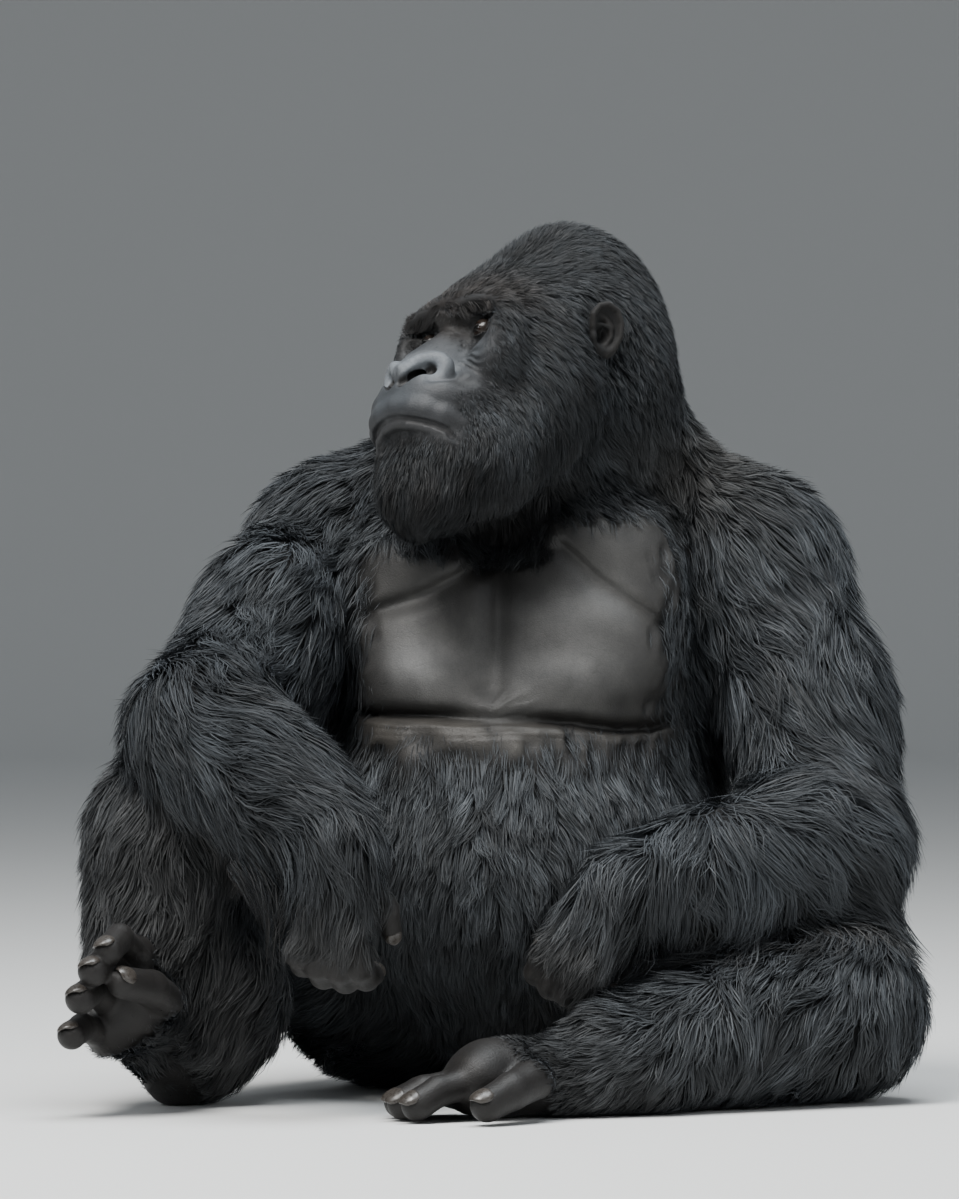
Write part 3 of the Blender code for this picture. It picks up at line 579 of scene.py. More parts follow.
def face_form(Q, f):
    """The bare face: nostrils, lips, lids and folds, cut in or raised on the form f."""
    A = Q.copy(); A[:, 0] = np.abs(A[:, 0])
    # brow, and the deep socket under it
    f = f - 0.0042 * np.exp(-(to_path(A, BROW) / 0.0100) ** 2)
    f += 0.0088 * bump(A, (0.050, 0.006, 0.0170), (0.027, 0.026, 0.0110))
    f += 0.0045 * bump(A, (0.024, 0.014, 0.0090), (0.012, 0.026, 0.0120))
    f += 0.0035 * bump(A, (0.066, 0.000, 0.0020), (0.018, 0.026, 0.0160))
    f += 0.0030 * bump(A, (0.030, 0.006, 0.0040), (0.010, 0.020, 0.0120))
    # hollows of the cheek, from beside the nose to the corner of the mouth
    f += 0.0075 * bump(A, (0.0710, 0.0430, -0.0780), (0.0130, 0.024, 0.0150))
    f += 0.0050 * bump(A, (0.0890, 0.0240, -0.0990), (0.0120, 0.024, 0.0130))
    # nose: a thick ring round each nostril, standing up from a moat
    ring = np.full(len(Q), 0.05, np.float32)
    near_nose = ((A - f32((0.026, 0.066, -0.063))) ** 2).sum(1) < 0.052 ** 2
    if near_nose.any():
        q = A[near_nose]; r = None
        for p0, p1 in zip(NOSE_RING, NOSE_RING[1:]):
            c = cone(q, tuple(p0[:3]), tuple(p1[:3]), float(p0[3]), float(p1[3]))
            r = c if r is None else smin(r, c, 0.0022)
        ring[near_nose] = r
        moat = np.exp(-((ring - 0.0030) / 0.0075) ** 2)
        f += 0.0070 * moat * ramp(A[:, 0], 0.030, 0.050) * ramp(Q[:, 2], -0.096, -0.072)
        f += 0.0030 * moat * ramp(Q[:, 2], -0.052, -0.034) * (1 - ramp(A[:, 0], 0.028, 0.046))
        f = smin(f, ring, 0.0055)
        f = smin(f, cone(A, (0.0, 0.0810, -0.0560), (0.0, 0.0795, -0.0900), 0.0072, 0.0056), 0.0070)
        hole = smin(cone(A, (0.0105, 0.0890, -0.0730), (0.0350, 0.0660, -0.0600), 0.0062, 0.0080), cone(A, (0.016, 0.074, -0.067), (0.022, 0.040, -0.049), 0.0070, 0.006), 0.004)
        f = smax(f, -hole, 0.0040)
        f += groove(A, ((0.0, 0.0880, -0.0560), (0.0, 0.0900, -0.0860)), 0.0026, 0.0012)
    # mouth
    for path, radii, k in ((UPPER_LIP, (0.0125, 0.0125, 0.0122, 0.0110, 0.0070), 0.010), (LOWER_LIP, (0.0060, 0.0060, 0.0054, 0.0042), 0.004)):
        for i, (a, b) in enumerate(zip(path, path[1:])):
            f = smin(f, cone(A, a, b, radii[i], radii[i + 1]), k)
    f += groove(A, MOUTH, 0.0025, 0.0090)
    # folds beside the mouth
    f += groove(A, ((0.0665, 0.0605, -0.1450), (0.0700, 0.0560, -0.1520)), 0.0040, 0.0030)
    f += groove(A, ((0.074, 0.050, -0.114), (0.082, 0.038, -0.128), (0.084, 0.028, -0.144)), 0.0036, 0.0026)
    f += groove(A, ((0.083, 0.036, -0.108), (0.090, 0.022, -0.124), (0.092, 0.012, -0.142)), 0.0036, 0.0020)
    # furrows between the brows and across the bridge
    f += groove(A, ((0.0060, 0.024, 0.040), (0.0080, 0.020, 0.022), (0.0060, 0.016, 0.006)), 0.0028, 0.0024)
    for i in range(4):
        y, z = 0.020 - 0.001 * i, 0.008 - 0.0080 * i
        f += groove(A, ((0.0, y + 0.004 * i, z), (0.011, y - 0.004 + 0.003 * i, z - 0.001), (0.022, y - 0.014, z - 0.004)), 0.0018, 0.0016)
    # lids: a fold over and two bags under the eye
    f += groove(A, ((0.0290, 0.000, -0.001), (0.0350, 0.006, 0.0060), (0.0460, 0.010, 0.0105), (0.0580, 0.006, 0.0110), (0.0690, -0.003, 0.0060)), 0.0018, 0.0022)
    f += groove(A, ((0.0320, 0.004, -0.0160), (0.0415, 0.007, -0.0150), (0.0515, 0.006, -0.0120), (0.0620, 0.001, -0.0070), (0.0700, -0.006, -0.0010)), 0.0018, 0.0024)
    f += groove(A, ((0.0290, 0.008, -0.0200), (0.0400, 0.010, -0.0235), (0.0530, 0.009, -0.0220), (0.0660, 0.003, -0.0160), (0.0770, -0.006, -0.0080)), 0.0022, 0.0022)
    # wrinkles fanning from beside the nose out under the eye
    mask = bump(A, (0.062, 0.022, -0.038), (0.024, 0.034, 0.022)) * ramp(np.hypot(A[:, 0] - 0.030, A[:, 2] + 0.034), 0.012, 0.026)
    ang = np.arctan2(A[:, 2] + 0.034, A[:, 0] - 0.030)
    f += 0.0012 * mask * np.sin(ang * 24 + 1.8 * waves(Q, 0.035, 5))
    # the opening between the lids, down to the eyeball, with a rim round it
    l, u, arc = lid_frame(A, Q)
    rim = np.minimum(np.abs(u - 0.0058 * arc), np.abs(u + 0.0051 * arc))
    f -= 0.0011 * np.exp(-(rim / 0.0017) ** 2) * (1 - ramp(np.abs(l), 0.011, 0.014)) * ramp(Q[:, 1], -0.010, -0.004)
    inside = np.maximum(np.maximum(u - 0.0058 * arc, -0.0051 * arc - u), -(Q[:, 1] + 0.0105))
    f = smax(f, -inside, 0.0012)
    return f


def ear_frame(P, s):
    d = 1 if s == "L" else -1
    C = head_point(d * 0.108, -0.141, 0.006)
    M = HEAD_M @ turn("z", d * 17.0) @ turn("y", d * 8.0)
    return ((P - f32(C)) @ f32(M)) * f32([d, 1.16, 1.07])


def tube(Q, pts, r):
    out = None
    for a, b in zip(pts, pts[1:]):
        c = cone(Q, a, b, r, r)
        out = c if out is None else np.minimum(out, c)
    return out


HELIX = ((0.0130, 0.0170, 0.0050), (0.0150, 0.0180, 0.0200), (0.0150, 0.0090, 0.0320), (0.0140, -0.0050, 0.0350), (0.0140, -0.0190, 0.0280), (0.0150, -0.0260, 0.0120),
         (0.0150, -0.0250, -0.0060), (0.0130, -0.0170, -0.0220), (0.0100, -0.0060, -0.0310))
ANTIHELIX = ((0.0090, -0.0030, -0.0200), (0.0110, -0.0120, -0.0080), (0.0110, -0.0120, 0.0060), (0.0100, -0.0030, 0.0170), (0.0090, 0.0060, 0.0220))


def ear_form(P, s):
    """The ear: a curled outer rim, an inner fold, the bowl before it and the small flap that guards it."""
    Q = ear_frame(P, s)
    f = egg(Q, (0.0055, -0.003, 0.0), (0.0130, 0.0275, 0.0365))
    f = smax(f, -egg(Q, (0.0195, -0.003, 0.002), (0.0115, 0.0205, 0.0285)), 0.003)
    f = smin(f, tube(Q, HELIX, 0.0038), 0.0035)
    f = smin(f, tube(Q, ANTIHELIX, 0.0034), 0.0030)
    f = smin(f, tube(Q, ((0.0110, -0.0120, 0.0040), (0.0110, 0.0020, 0.0080), (0.0100, 0.0100, 0.0080)), 0.0028), 0.0030)
    f = smax(f, -egg(Q, (0.0130, 0.0030, -0.0060), (0.0120, 0.0095, 0.0110)), 0.0025)
    f = smin(f, egg(Q, (0.0100, 0.0150, -0.0080), (0.0070, 0.0050, 0.0090)), 0.004)
    return f


def ear_share(P):
    """1 on the bare ears, 0 away from them."""
    out = np.zeros(len(P), np.float32)
    for s, d in (("L", 1), ("R", -1)):
        near_ear = ((P - f32(head_point(d * 0.112, -0.150, 0.006))) ** 2).sum(1) < 0.060 ** 2
        if near_ear.any():
            out[near_ear] = np.maximum(out[near_ear], 1 - ramp(ear_form(P[near_ear], s), 0.0006, 0.0040))
    return out


COLLAR_R = ((-0.1500, 0, 0.5860), (-0.1335, 0, 0.5910), (-0.0869, 0, 0.6060), (-0.0398, 0, 0.6299), (-0.0170, 0, 0.6420))
COLLAR_L = ((0.0800, 0, 0.6640), (0.0927, 0, 0.6538), (0.1233, 0, 0.6239), (0.1527, 0, 0.6030), (0.1900, 0, 0.5780))


def under_breast(x):
    """Height of the fold under the breast."""
    return np.interp(x, (-0.20, -0.15, -0.06, -0.01, 0.045, 0.095, 0.146, 0.184, 0.216), (0.470, 0.4618, 0.4612, 0.4571, 0.4556, 0.4525, 0.4447, 0.4457, 0.4585))


def chest_form(P, f, own):
    """The bare chest: heavy breast muscles low down, the fold under them, the breastbone and the creases by the collar."""
    Q = trunk_frame(P)
    near_by = (Q[:, 1] < 0) & (np.abs(Q[:, 0]) < 0.30) & (Q[:, 2] > 0.36) & (Q[:, 2] < 0.78)
    if not near_by.any():
        return f
    q = Q[near_by]
    x, z = q[:, 0], q[:, 2]
    m = x - 0.001
    side = np.clip((np.abs(m) - 0.010) / 0.050, 0, 1)
    # the muscles swell out low down and fall back above
    add = -0.0190 * (bump(q, (-0.100, -0.200, 0.508), (0.080, 0.15, 0.048)) + bump(q, (0.118, -0.195, 0.505), (0.098, 0.15, 0.050)))
    add += 0.0130 * (bump(q, (-0.095, -0.200, 0.606), (0.090, 0.15, 0.050)) + bump(q, (0.110, -0.195, 0.615), (0.100, 0.15, 0.050)))
    add += 0.0095 * np.exp(-(m / 0.020) ** 2) * ramp(z, 0.468, 0.500)
    # the fold under them, deeper towards the sides
    dz = z - under_breast(x)
    add += (0.0060 + 0.0085 * side) * np.exp(-(np.where(dz > 0, dz / 0.0105, dz / 0.0060)) ** 2)
    # fine lines under the fold, and fanning up from it at the middle
    band = np.exp(-((dz + 0.012) / 0.016) ** 2)
    add += 0.0007 * band * np.sin((z + 0.0024 * waves(q, 0.09, 11)) * 2 * math.pi / 0.0085)
    fan = bump(q, (0.020, -0.235, 0.475), (0.045, 0.15, 0.022))
    ang = np.arctan2(z - 0.450, x + 0.030)
    add += 0.0007 * fan * np.sin(ang * 34 + 1.2 * waves(q, 0.04, 12))
    for path, deep in ((COLLAR_R, 0.0110), (COLLAR_L, 0.0090)):
        flat = q.copy(); flat[:, 1] = 0
        d = to_path(flat, path)
        above = z - np.interp(x, np.array(path)[:, 0], np.array(path)[:, 2])
        add += deep * np.exp(-(d / np.where(above > 0, 0.0085, 0.0150)) ** 2)
    front = ramp(-q[:, 1], 0.02, 0.08)
    out = f.copy()
    out[near_by] += add * front * own[near_by]
    return out


def skin_at(P, names):
    F, whole, depth, bare, W = outer_and_depth(P, names)
    f = whole + depth
    f = chest_form(P, f, W[:, NAMES.index("trunk")])
    if "head" in names:
        Q = head_frame(P)
        face = (Q[:, 1] > -0.045) & (np.abs(Q[:, 0]) < 0.12) & (np.abs(Q[:, 2] + 0.05) < 0.15) & (Q[:, 1] < 0.16)
        if face.any():
            g = face_form(Q[face], f[face])
            keep = ramp(Q[face][:, 1], -0.045, -0.025)
            f = f.copy(); f[face] = f[face] * (1 - keep) + g * keep
        for s, d in (("L", 1), ("R", -1)):
            near_ear = ((P - f32(head_point(d * 0.112, -0.150, 0.006))) ** 2).sum(1) < 0.065 ** 2
            if near_ear.any():
                f = f.copy(); f[near_ear] = smin(f[near_ear], ear_form(P[near_ear], s), 0.004)
    f = smax(f, -P[:, 2] - 0.0, 0.004)             # the floor
    return f


def skin_field(P):
    return in_blocks(skin_at, P, 1)


TETRA = np.array([[1, 1, 1], [1, -1, -1], [-1, 1, -1], [-1, -1, 1]], np.float32)


def gradient(P, eps=0.0004):
    n = len(P)
    V = skin_field(np.concatenate([P + t * np.float32(eps) for t in TETRA])).reshape(4, n)
    return (V.T @ TETRA) / (4 * eps)


# ---------------------------------------------------------------- meshing on cells of several sizes
FINEST = 0.00095
LOW = np.array([-0.57, -0.64, -0.0152])


def at(cells):
    return (LOW + np.asarray(cells, float) * FINEST).astype(np.float32)


def wanted(P):
    """The cell size each place needs, in the finest cells."""
    size = np.full(len(P), 8)
    Q = head_frame(P)
    in_head = ((P - f32(head_point(0, -0.06, -0.05))) ** 2).sum(1) < 0.22 ** 2
    face = (Q[:, 1] > -0.035) & (np.abs(Q[:, 0]) < 0.105) & (Q[:, 2] > -0.175) & (Q[:, 2] < 0.065)
    size[(np.abs(trunk_frame(P)[:, 0]) < 0.25) & (trunk_frame(P)[:, 1] < -0.05) & (P[:, 2] > 0.42) & (P[:, 2] < 0.72)] = 4
    size[in_head & (Q[:, 1] > -0.10)] = 4
    for s in "LR":
        O, M = hand_frame(s)
        c = O + M @ np.array([0.10, 0, -0.02])
        size[((P - f32(c)) ** 2).sum(1) < 0.125 ** 2] = 4
        tips = np.mean([t[2] for t in TOES[s]] + [GREAT_TOE[s][2]], 0)
        size[((P - f32(tips)) ** 2).sum(1) < 0.125 ** 2] = 4
        size[((P - f32(tips)) ** 2).sum(1) < (0.085 if s == "R" else 0.06) ** 2] = 2
        d = 1 if s == "L" else -1
        size[((P - f32(head_point(d * 0.118, -0.150, 0.006))) ** 2).sum(1) < 0.046 ** 2] = 2
    size[face] = 2
    A = Q.copy(); A[:, 0] = np.abs(A[:, 0])
    eye = ((A - f32((EYE_HALF, 0.0, 0.0))) ** 2).sum(1) < 0.0215 ** 2
    nose = ((A - f32((0.024, 0.068, -0.060))) ** 2 / f32((0.028, 0.030, 0.026)) ** 2).sum(1) < 1
    size[eye | nose] = 1
    return size


CORNERS = np.array([[(c >> a) & 1 for a in range(3)] for c in range(8)])


def pack3(c):
    c = np.asarray(c, np.int64)
    return (c[..., 0] << 40) + (c[..., 1] << 20) + c[..., 2]


def dual_mesh():
    """Skin mesh: one vertex in each cell that the surface crosses, one face round each edge it crosses."""
    n = np.array([19, 17, 19])                       # blocks of 64 cells, 60.8 mm
    cells = np.stack(np.meshgrid(*[np.arange(k) for k in n], indexing="ij"), -1).reshape(-1, 3) * 64
    size = 64
    while size > 8:
        v = skin_field(at(cells + size / 2))
        cells = cells[np.abs(v) < size * FINEST * 0.87 * 1.5 + 0.012]
        size //= 2
        cells = (cells[:, None] + CORNERS[None] * size).reshape(-1, 3)
    v = skin_field(at(cells + 4))
    cells = cells[np.abs(v) < 8 * FINEST * 0.87 * 1.8 + 0.003]
    leaves = {}
    for size in (8, 4, 2, 1):
        if size > 1:
            c = at(cells + size / 2)
            v = skin_field(c)
            split = (wanted(c) < size) & (np.abs(v) < size * FINEST * 0.87 * 1.8 + 0.0015)
            leaves[size] = cells[~split]
            cells = (cells[split][:, None] + CORNERS[None] * (size // 2)).reshape(-1, 3)
        else:
            leaves[size] = cells
    clock("cells " + str({k: len(v) for k, v in leaves.items()}))
    corners = np.unique(np.concatenate([pack3((v[:, None] + CORNERS[None] * k).reshape(-1, 3)) for k, v in leaves.items()]))
    where = np.stack([corners >> 40, (corners >> 20) & 0xFFFFF, corners & 0xFFFFF], 1)
    value = skin_field(at(where))
    value[value == 0] = 1e-7
    clock(f"{len(corners)} corners")
    # leaves numbered across all sizes, with a sorted table for each size
    table, base = {}, 0
    for k, v in leaves.items():
        key = pack3(v)
        order = np.argsort(key)
        table[k] = (key[order], order + base)
        base += len(v)
    total = base

    def find(cell):
        leaf = np.full(len(cell), -1, np.int64)
        big = np.zeros(len(cell), np.int64)
        for k, (keys, ids) in table.items():
            if not len(keys):
                continue
            q = pack3(cell // k * k)
            i = np.minimum(np.searchsorted(keys, q), len(keys) - 1)
            hit = keys[i] == q
            leaf[hit] = ids[i[hit]]; big[hit] = k
        return leaf, big

    polys, points, weight = [], np.zeros((total, 3)), np.zeros(total)
    holes = 0
    for k, v in leaves.items():
        if not len(v):
            continue
        for a in range(3):
            b, c = (a + 1) % 3, (a + 2) % 3
            starts = []
            for db in (0, 1):
                for dc in (0, 1):
                    o = np.zeros(3, np.int64); o[b] = db * k; o[c] = dc * k
                    starts.append(v + o)
            key = np.unique(pack3(np.concatenate(starts)))
            s = np.stack([key >> 40, (key >> 20) & 0xFFFFF, key & 0xFFFFF], 1)
            e = s.copy(); e[:, a] += k
            vs = value[np.searchsorted(corners, key)]
            ve = value[np.searchsorted(corners, pack3(e))]
            cross = (vs < 0) != (ve < 0)
            s, vs, ve = s[cross], vs[cross], ve[cross]
            around, ok = [], np.ones(len(s), bool)
            for db, dc in ((-1, -1), (0, -1), (0, 0), (-1, 0)):
                q = s.copy(); q[:, b] += db; q[:, c] += dc
                leaf, big = find(q)
                holes += int((leaf < 0).sum())
                ok &= (leaf >= 0) & (big >= k)
                around.append(leaf)
            around = np.stack(around, 1)[ok]
            s, vs, ve = s[ok], vs[ok], ve[ok]
            t = vs / (vs - ve)
            p = s.astype(float); p[:, a] += t * k
            for j in range(4):
                for d in range(3):
                    points[:, d] += np.bincount(around[:, j], weights=p[:, d], minlength=total)
                weight += np.bincount(around[:, j], minlength=total)
            around[vs > 0] = around[vs > 0][:, ::-1]
            polys.append(around)
    polys = np.concatenate(polys)
    used = np.flatnonzero(weight > 0)
    index = np.full(total, -1); index[used] = np.arange(len(used))
    points = at(points[used] / weight[used, None])
    polys = index[polys]
    same = polys == np.roll(polys, -1, axis=1)
    quads = polys[~same.any(1)]
    three = polys[same.sum(1) == 1]
    drop = same[same.sum(1) == 1]
    tris = three[~drop].reshape(-1, 3)
    clock(f"skin {len(points)} points, {len(quads)} quads, {len(tris)} triangles, {holes} gaps")
    return points, quads, tris


def settle(points, reach=0.0035):
    """Moves each point onto the surface along the field's slope; returns the points and normals."""
    p = points.astype(np.float32)
    g = gradient(p)
    n2 = np.maximum((g * g).sum(1), 0.05)
    for _ in range(2):
        p = p - (np.clip(skin_field(p), -reach, reach) / n2)[:, None] * g
    g = gradient(p, 0.0007)
    return p, g / np.maximum(np.linalg.norm(g, axis=1, keepdims=True), 1e-6)


def mesh_object(name, points, quads, tris, smooth=True):
    mesh = bpy.data.meshes.new(name)
    nq, nt = len(quads), len(tris)
    loops = np.concatenate([np.asarray(quads).reshape(-1), np.asarray(tris).reshape(-1)]).astype(np.int32)
    start = np.concatenate([np.arange(nq) * 4, nq * 4 + np.arange(nt) * 3]).astype(np.int32)
    mesh.vertices.add(len(points))
    mesh.vertices.foreach_set("co", to_world(points).astype(np.float32).ravel())
    mesh.loops.add(len(loops))
    mesh.loops.foreach_set("vertex_index", loops)
    mesh.polygons.add(nq + nt)
    mesh.polygons.foreach_set("loop_start", start)
    mesh.update(calc_edges=True)
    mesh.validate()
    if smooth:
        mesh.shade_smooth()
    obj = bpy.data.objects.new(name, mesh)
    bpy.context.scene.collection.objects.link(obj)
    return obj


# ---------------------------------------------------------------- colours
def mix(a, b, t):
    return a * (1 - t[:, None]) + f32(b) * t[:, None]


def saddle_share(P):
    """1 on the silver saddle, from the shoulder blades to the rump and over the tops of the thighs."""
    Q = trunk_frame(P)
    ragged = 0.030 * waves(Q, 0.16, 24) + 0.016 * waves(Q, 0.05, 25)
    back = ramp(Q[:, 1] + ragged, 0.010, 0.135)
    high = 1 - ramp(Q[:, 2] + ragged + 0.25 * np.maximum(np.abs(Q[:, 0]) - 0.12, 0), 0.575, 0.710)
    low = ramp(Q[:, 2], 0.020, 0.120)
    return back * high * low


def coat_colour(P, W):
    """Base colour of the hair: near black, with the brown of the brow, the forearms' undersides and the feet, and the
    silver back; painted shade darkens the hair under the chin and on the throat.
    """
    col = np.tile(f32((0.0140, 0.0160, 0.0182)), (len(P), 1))
    Q = head_frame(P)
    w = {n: W[:, i] for i, n in enumerate(NAMES)}
    col = mix(col, (0.0078, 0.0089, 0.0100), w["head"] * 0.95)
    # painted shade: the hair under the jaw and chin is darkened as shade under the head
    beard = np.exp(-(((Q - f32((0, 0.030, -0.205))) / f32((0.13, 0.10, 0.055))) ** 2).sum(1)) * w["head"]
    col = mix(col, (0.0034, 0.0037, 0.0040), beard * 0.95)
    cheek = np.exp(-(((np.abs(Q[:, :1]) - 0.096) / 0.026) ** 2 + ((Q[:, 1:2] + 0.006) / 0.034) ** 2 + ((Q[:, 2:] + 0.040) / 0.080) ** 2)[:, 0]) * w["head"]
    col = mix(col, (0.0250, 0.0278, 0.0308), cheek * 0.8)
    col = mix(col, (0.0330, 0.0365, 0.0400), w["trunk"] * ramp(P[:, 2], 0.10, 0.25) * ramp(-trunk_frame(P)[:, 1], 0.06, 0.14))
    brow = np.exp(-((Q[:, 2] - 0.045) / 0.028) ** 2) * ramp(Q[:, 1], -0.09, -0.02) * w["head"]
    col = mix(col, (0.0120, 0.0095, 0.0080), brow * 0.9)
    col = mix(col, (0.0260, 0.0292, 0.0325), (w["upper_arm_L"] + w["upper_arm_R"]) * 0.8)
    col = mix(col, (0.0330, 0.0370, 0.0412), (w["forearm_L"] + w["thigh_L"] + w["shin_L"]) * 0.8)
    col = mix(col, (0.0200, 0.0224, 0.0248), (w["forearm_R"] + w["thigh_R"]) * 0.6)
    # painted shadow: the hair of the throat is darkened where the head's shadow falls under the chin
    throat_shadow = np.exp(-(np.sqrt(((P - f32((0.010, -0.165, 0.690))) ** 2).sum(1)) / 0.100) ** 4)
    col = mix(col, (0.0035, 0.0035, 0.0035), throat_shadow * 0.92)
    for s in "LR":
        E, V = np.array(JOINTS["elbow_" + s]), np.array(JOINTS["wrist_" + s])
        t = np.clip(((P - f32(E)) @ f32(V - E)) / float((V - E) @ (V - E)), 0, 1)
        below = ramp(-(P[:, 2] - (E[2] + (V[2] - E[2]) * t)), 0.010, 0.070)
        col = mix(col, (0.0175, 0.0150, 0.0125), w["forearm_" + s] * below * 0.8)
        col = mix(col, (0.0360, 0.0355, 0.0345), (w["shin_" + s] * (1.0 if s == "R" else 0.3) + w["foot_" + s] + w["hand_" + s]) * 0.6)
    side_neck = np.exp(-(((P[:, 0] - 0.225) / 0.070) ** 2 + ((P[:, 2] - 0.775) / 0.060) ** 2)) * (1 - w["head"]) * ramp(-trunk_frame(P)[:, 1], -0.10, -0.02)
    col = mix(col, (0.0400, 0.0380, 0.0350), side_neck * 0.8)
    col *= np.exp(0.16 * waves(P, 0.11, 21) + (0.24 + 0.14 * w["head"]) * waves(P, 0.035, 23))[:, None]
    silver = np.clip(saddle_share(P) * (1 + 0.25 * waves(P, 0.07, 22)), 0, 1) * (1 - w["head"]) * (1 - w["neck"] * 0.7)
    for s in "LR":
        silver = silver * (1 - w["upper_arm_" + s]) * (1 - w["forearm_" + s])
    col = mix(col, (0.300, 0.298, 0.288), silver)
    return np.clip(col, 0.004, 1)


def skin_colour(P, W, bare):
    """Base colour of the skin: dark under the coat, slate on the face, warmer on the chest, hands and feet, with
    painted shade in the sockets, cheek hollows, nostrils, mouth, throat and under the breast, and painted highlights on
    the nose, lower lip, breast and ear rims.
    """
    w = {n: W[:, i] for i, n in enumerate(NAMES)}
    col = np.tile(f32((0.0085, 0.0085, 0.0090)), (len(P), 1))
    Q = head_frame(P); A = Q.copy(); A[:, 0] = np.abs(A[:, 0])
    face = (0.0190, 0.0200, 0.0220)
    col = mix(col, face, bare * w["head"])
    on = bare * w["head"]
    pale = np.clip(bump(A, (0.016, 0.085, -0.092), (0.046, 0.045, 0.022)) + 1.2 * bump(A, (0.030, 0.060, -0.052), (0.034, 0.034, 0.030)), 0, 1)
    col = mix(col, (0.035, 0.0400, 0.0450), pale * on)
    # painted highlight: a bright bluish patch on top of the nose stands for the shine on the wet skin
    tip = np.clip(1.2 * bump(A, (0.024, 0.070, -0.050), (0.030, 0.030, 0.016)) + bump(A, (0.045, 0.054, -0.060), (0.014, 0.02, 0.018)), 0, 1)
    col = mix(col, (0.150, 0.165, 0.180), tip * on)
    under = np.clip(bump(A, (0.056, 0.016, -0.034), (0.034, 0.040, 0.020)) * 1.1, 0, 1)
    col = mix(col, (0.046, 0.052, 0.058), under * on * 0.8)
    # painted shade in the cheek hollows beside the nose and towards the corner of the mouth
    hollow_shade = np.clip(1.3 * bump(A, (0.0700, 0.040, -0.078), (0.015, 0.034, 0.018)) + bump(A, (0.0890, 0.022, -0.099), (0.016, 0.03, 0.016)), 0, 1)
    col = mix(col, (0.0100, 0.0100, 0.0105), hollow_shade * on * 0.85)
    # painted shade: the eye sockets under the brow are made near black
    socket_shade = np.clip(1.15 * bump(A, (0.052, 0.002, 0.0130), (0.038, 0.034, 0.0190)) + 0.8 * bump(A, (0.074, -0.004, 0.000), (0.016, 0.03, 0.020)), 0, 1)
    col = mix(col, (0.0026, 0.0022, 0.0020), socket_shade * 0.97 * w["head"])
    # dark brown skin between the eyes, carried down into the inner corners of the sockets as painted shade
    bridge_and_socket_shade = bump(A, (0.0, 0.018, 0.022), (0.032, 0.036, 0.032)) + bump(A, (0.024, 0.016, 0.002), (0.016, 0.03, 0.014))
    col = mix(col, (0.0070, 0.0048, 0.0037), np.clip(1.6 * bridge_and_socket_shade, 0, 1) * w["head"] * ramp(Q[:, 1], -0.06, -0.03) * 0.92)
    brow = np.exp(-(to_path(A, BROW) / 0.0070) ** 2)
    col = mix(col, (0.0150, 0.0120, 0.0100), brow * on * 0.8)
    # painted highlight: a paler line along the lower lip
    lip = np.exp(-(to_path(A, LOWER_LIP) / 0.0075) ** 2)
    col = mix(col, (0.034, 0.0340, 0.0345), lip * on * 0.85)
    # painted shade: a dark line in the crease between the lips
    d = to_path(A, MOUTH)
    col = mix(col, (0.006, 0.005, 0.005), np.exp(-(d / 0.0028) ** 2) * on)
    l, u, arc = lid_frame(A, Q)
    lids = np.exp(-(np.minimum(np.abs(u - 0.0058 * arc), np.abs(u + 0.0051 * arc)) / 0.0012) ** 2) * (np.abs(l) < 0.016) * on
    col = mix(col, (0.0300, 0.0270, 0.0260), lids * 0.6)
    # painted shade inside the nostrils
    nostril_shade = np.minimum(cone(A, (0.0105, 0.0890, -0.0730), (0.0350, 0.0660, -0.0600), 0.0062, 0.0080), cone(A, (0.016, 0.074, -0.067), (0.022, 0.040, -0.049), 0.0070, 0.006))
    col = mix(col, (0.0034, 0.0030, 0.0030), (1 - ramp(nostril_shade, 0.0004, 0.0022)) * w["head"])
    chest = bare * np.clip(w["trunk"] + w["neck"], 0, 1)
    T = trunk_frame(P)
    col = mix(col, (0.0400, 0.0390, 0.0368), chest)
    # painted highlights: pale patches on the breast muscles, strongest low on the right one
    col = mix(col, (0.1250, 0.1250, 0.1230), chest * np.clip(bump(T, (-0.100, -0.2, 0.520), (0.070, 0.2, 0.044)) + 0.45 * bump(T, (0.08, -0.2, 0.515), (0.09, 0.2, 0.036)) + 0.35 * bump(T, (0.10, -0.2, 0.60), (0.09, 0.2, 0.06)), 0, 1))
    # painted shade: the bare chest darkens towards its sides, next to the arms
    col = mix(col, (0.0160, 0.0152, 0.0142), chest * ramp(np.abs(T[:, 0] - 0.02), 0.120, 0.190) * 0.8)
    below = chest * ramp(under_breast(T[:, 0]) - T[:, 2], -0.004, 0.010)
    col = mix(col, (0.0430, 0.0395, 0.0345), below * 0.85)
    # painted shade: a dark band in the fold under the breast, deeper towards the sides
    col = mix(col, (0.0060, 0.0052, 0.0046), chest * np.exp(-((T[:, 2] - under_breast(T[:, 0]) - 0.004) / 0.009) ** 2) * (0.35 + 0.55 * ramp(np.abs(T[:, 0]), 0.03, 0.09)))
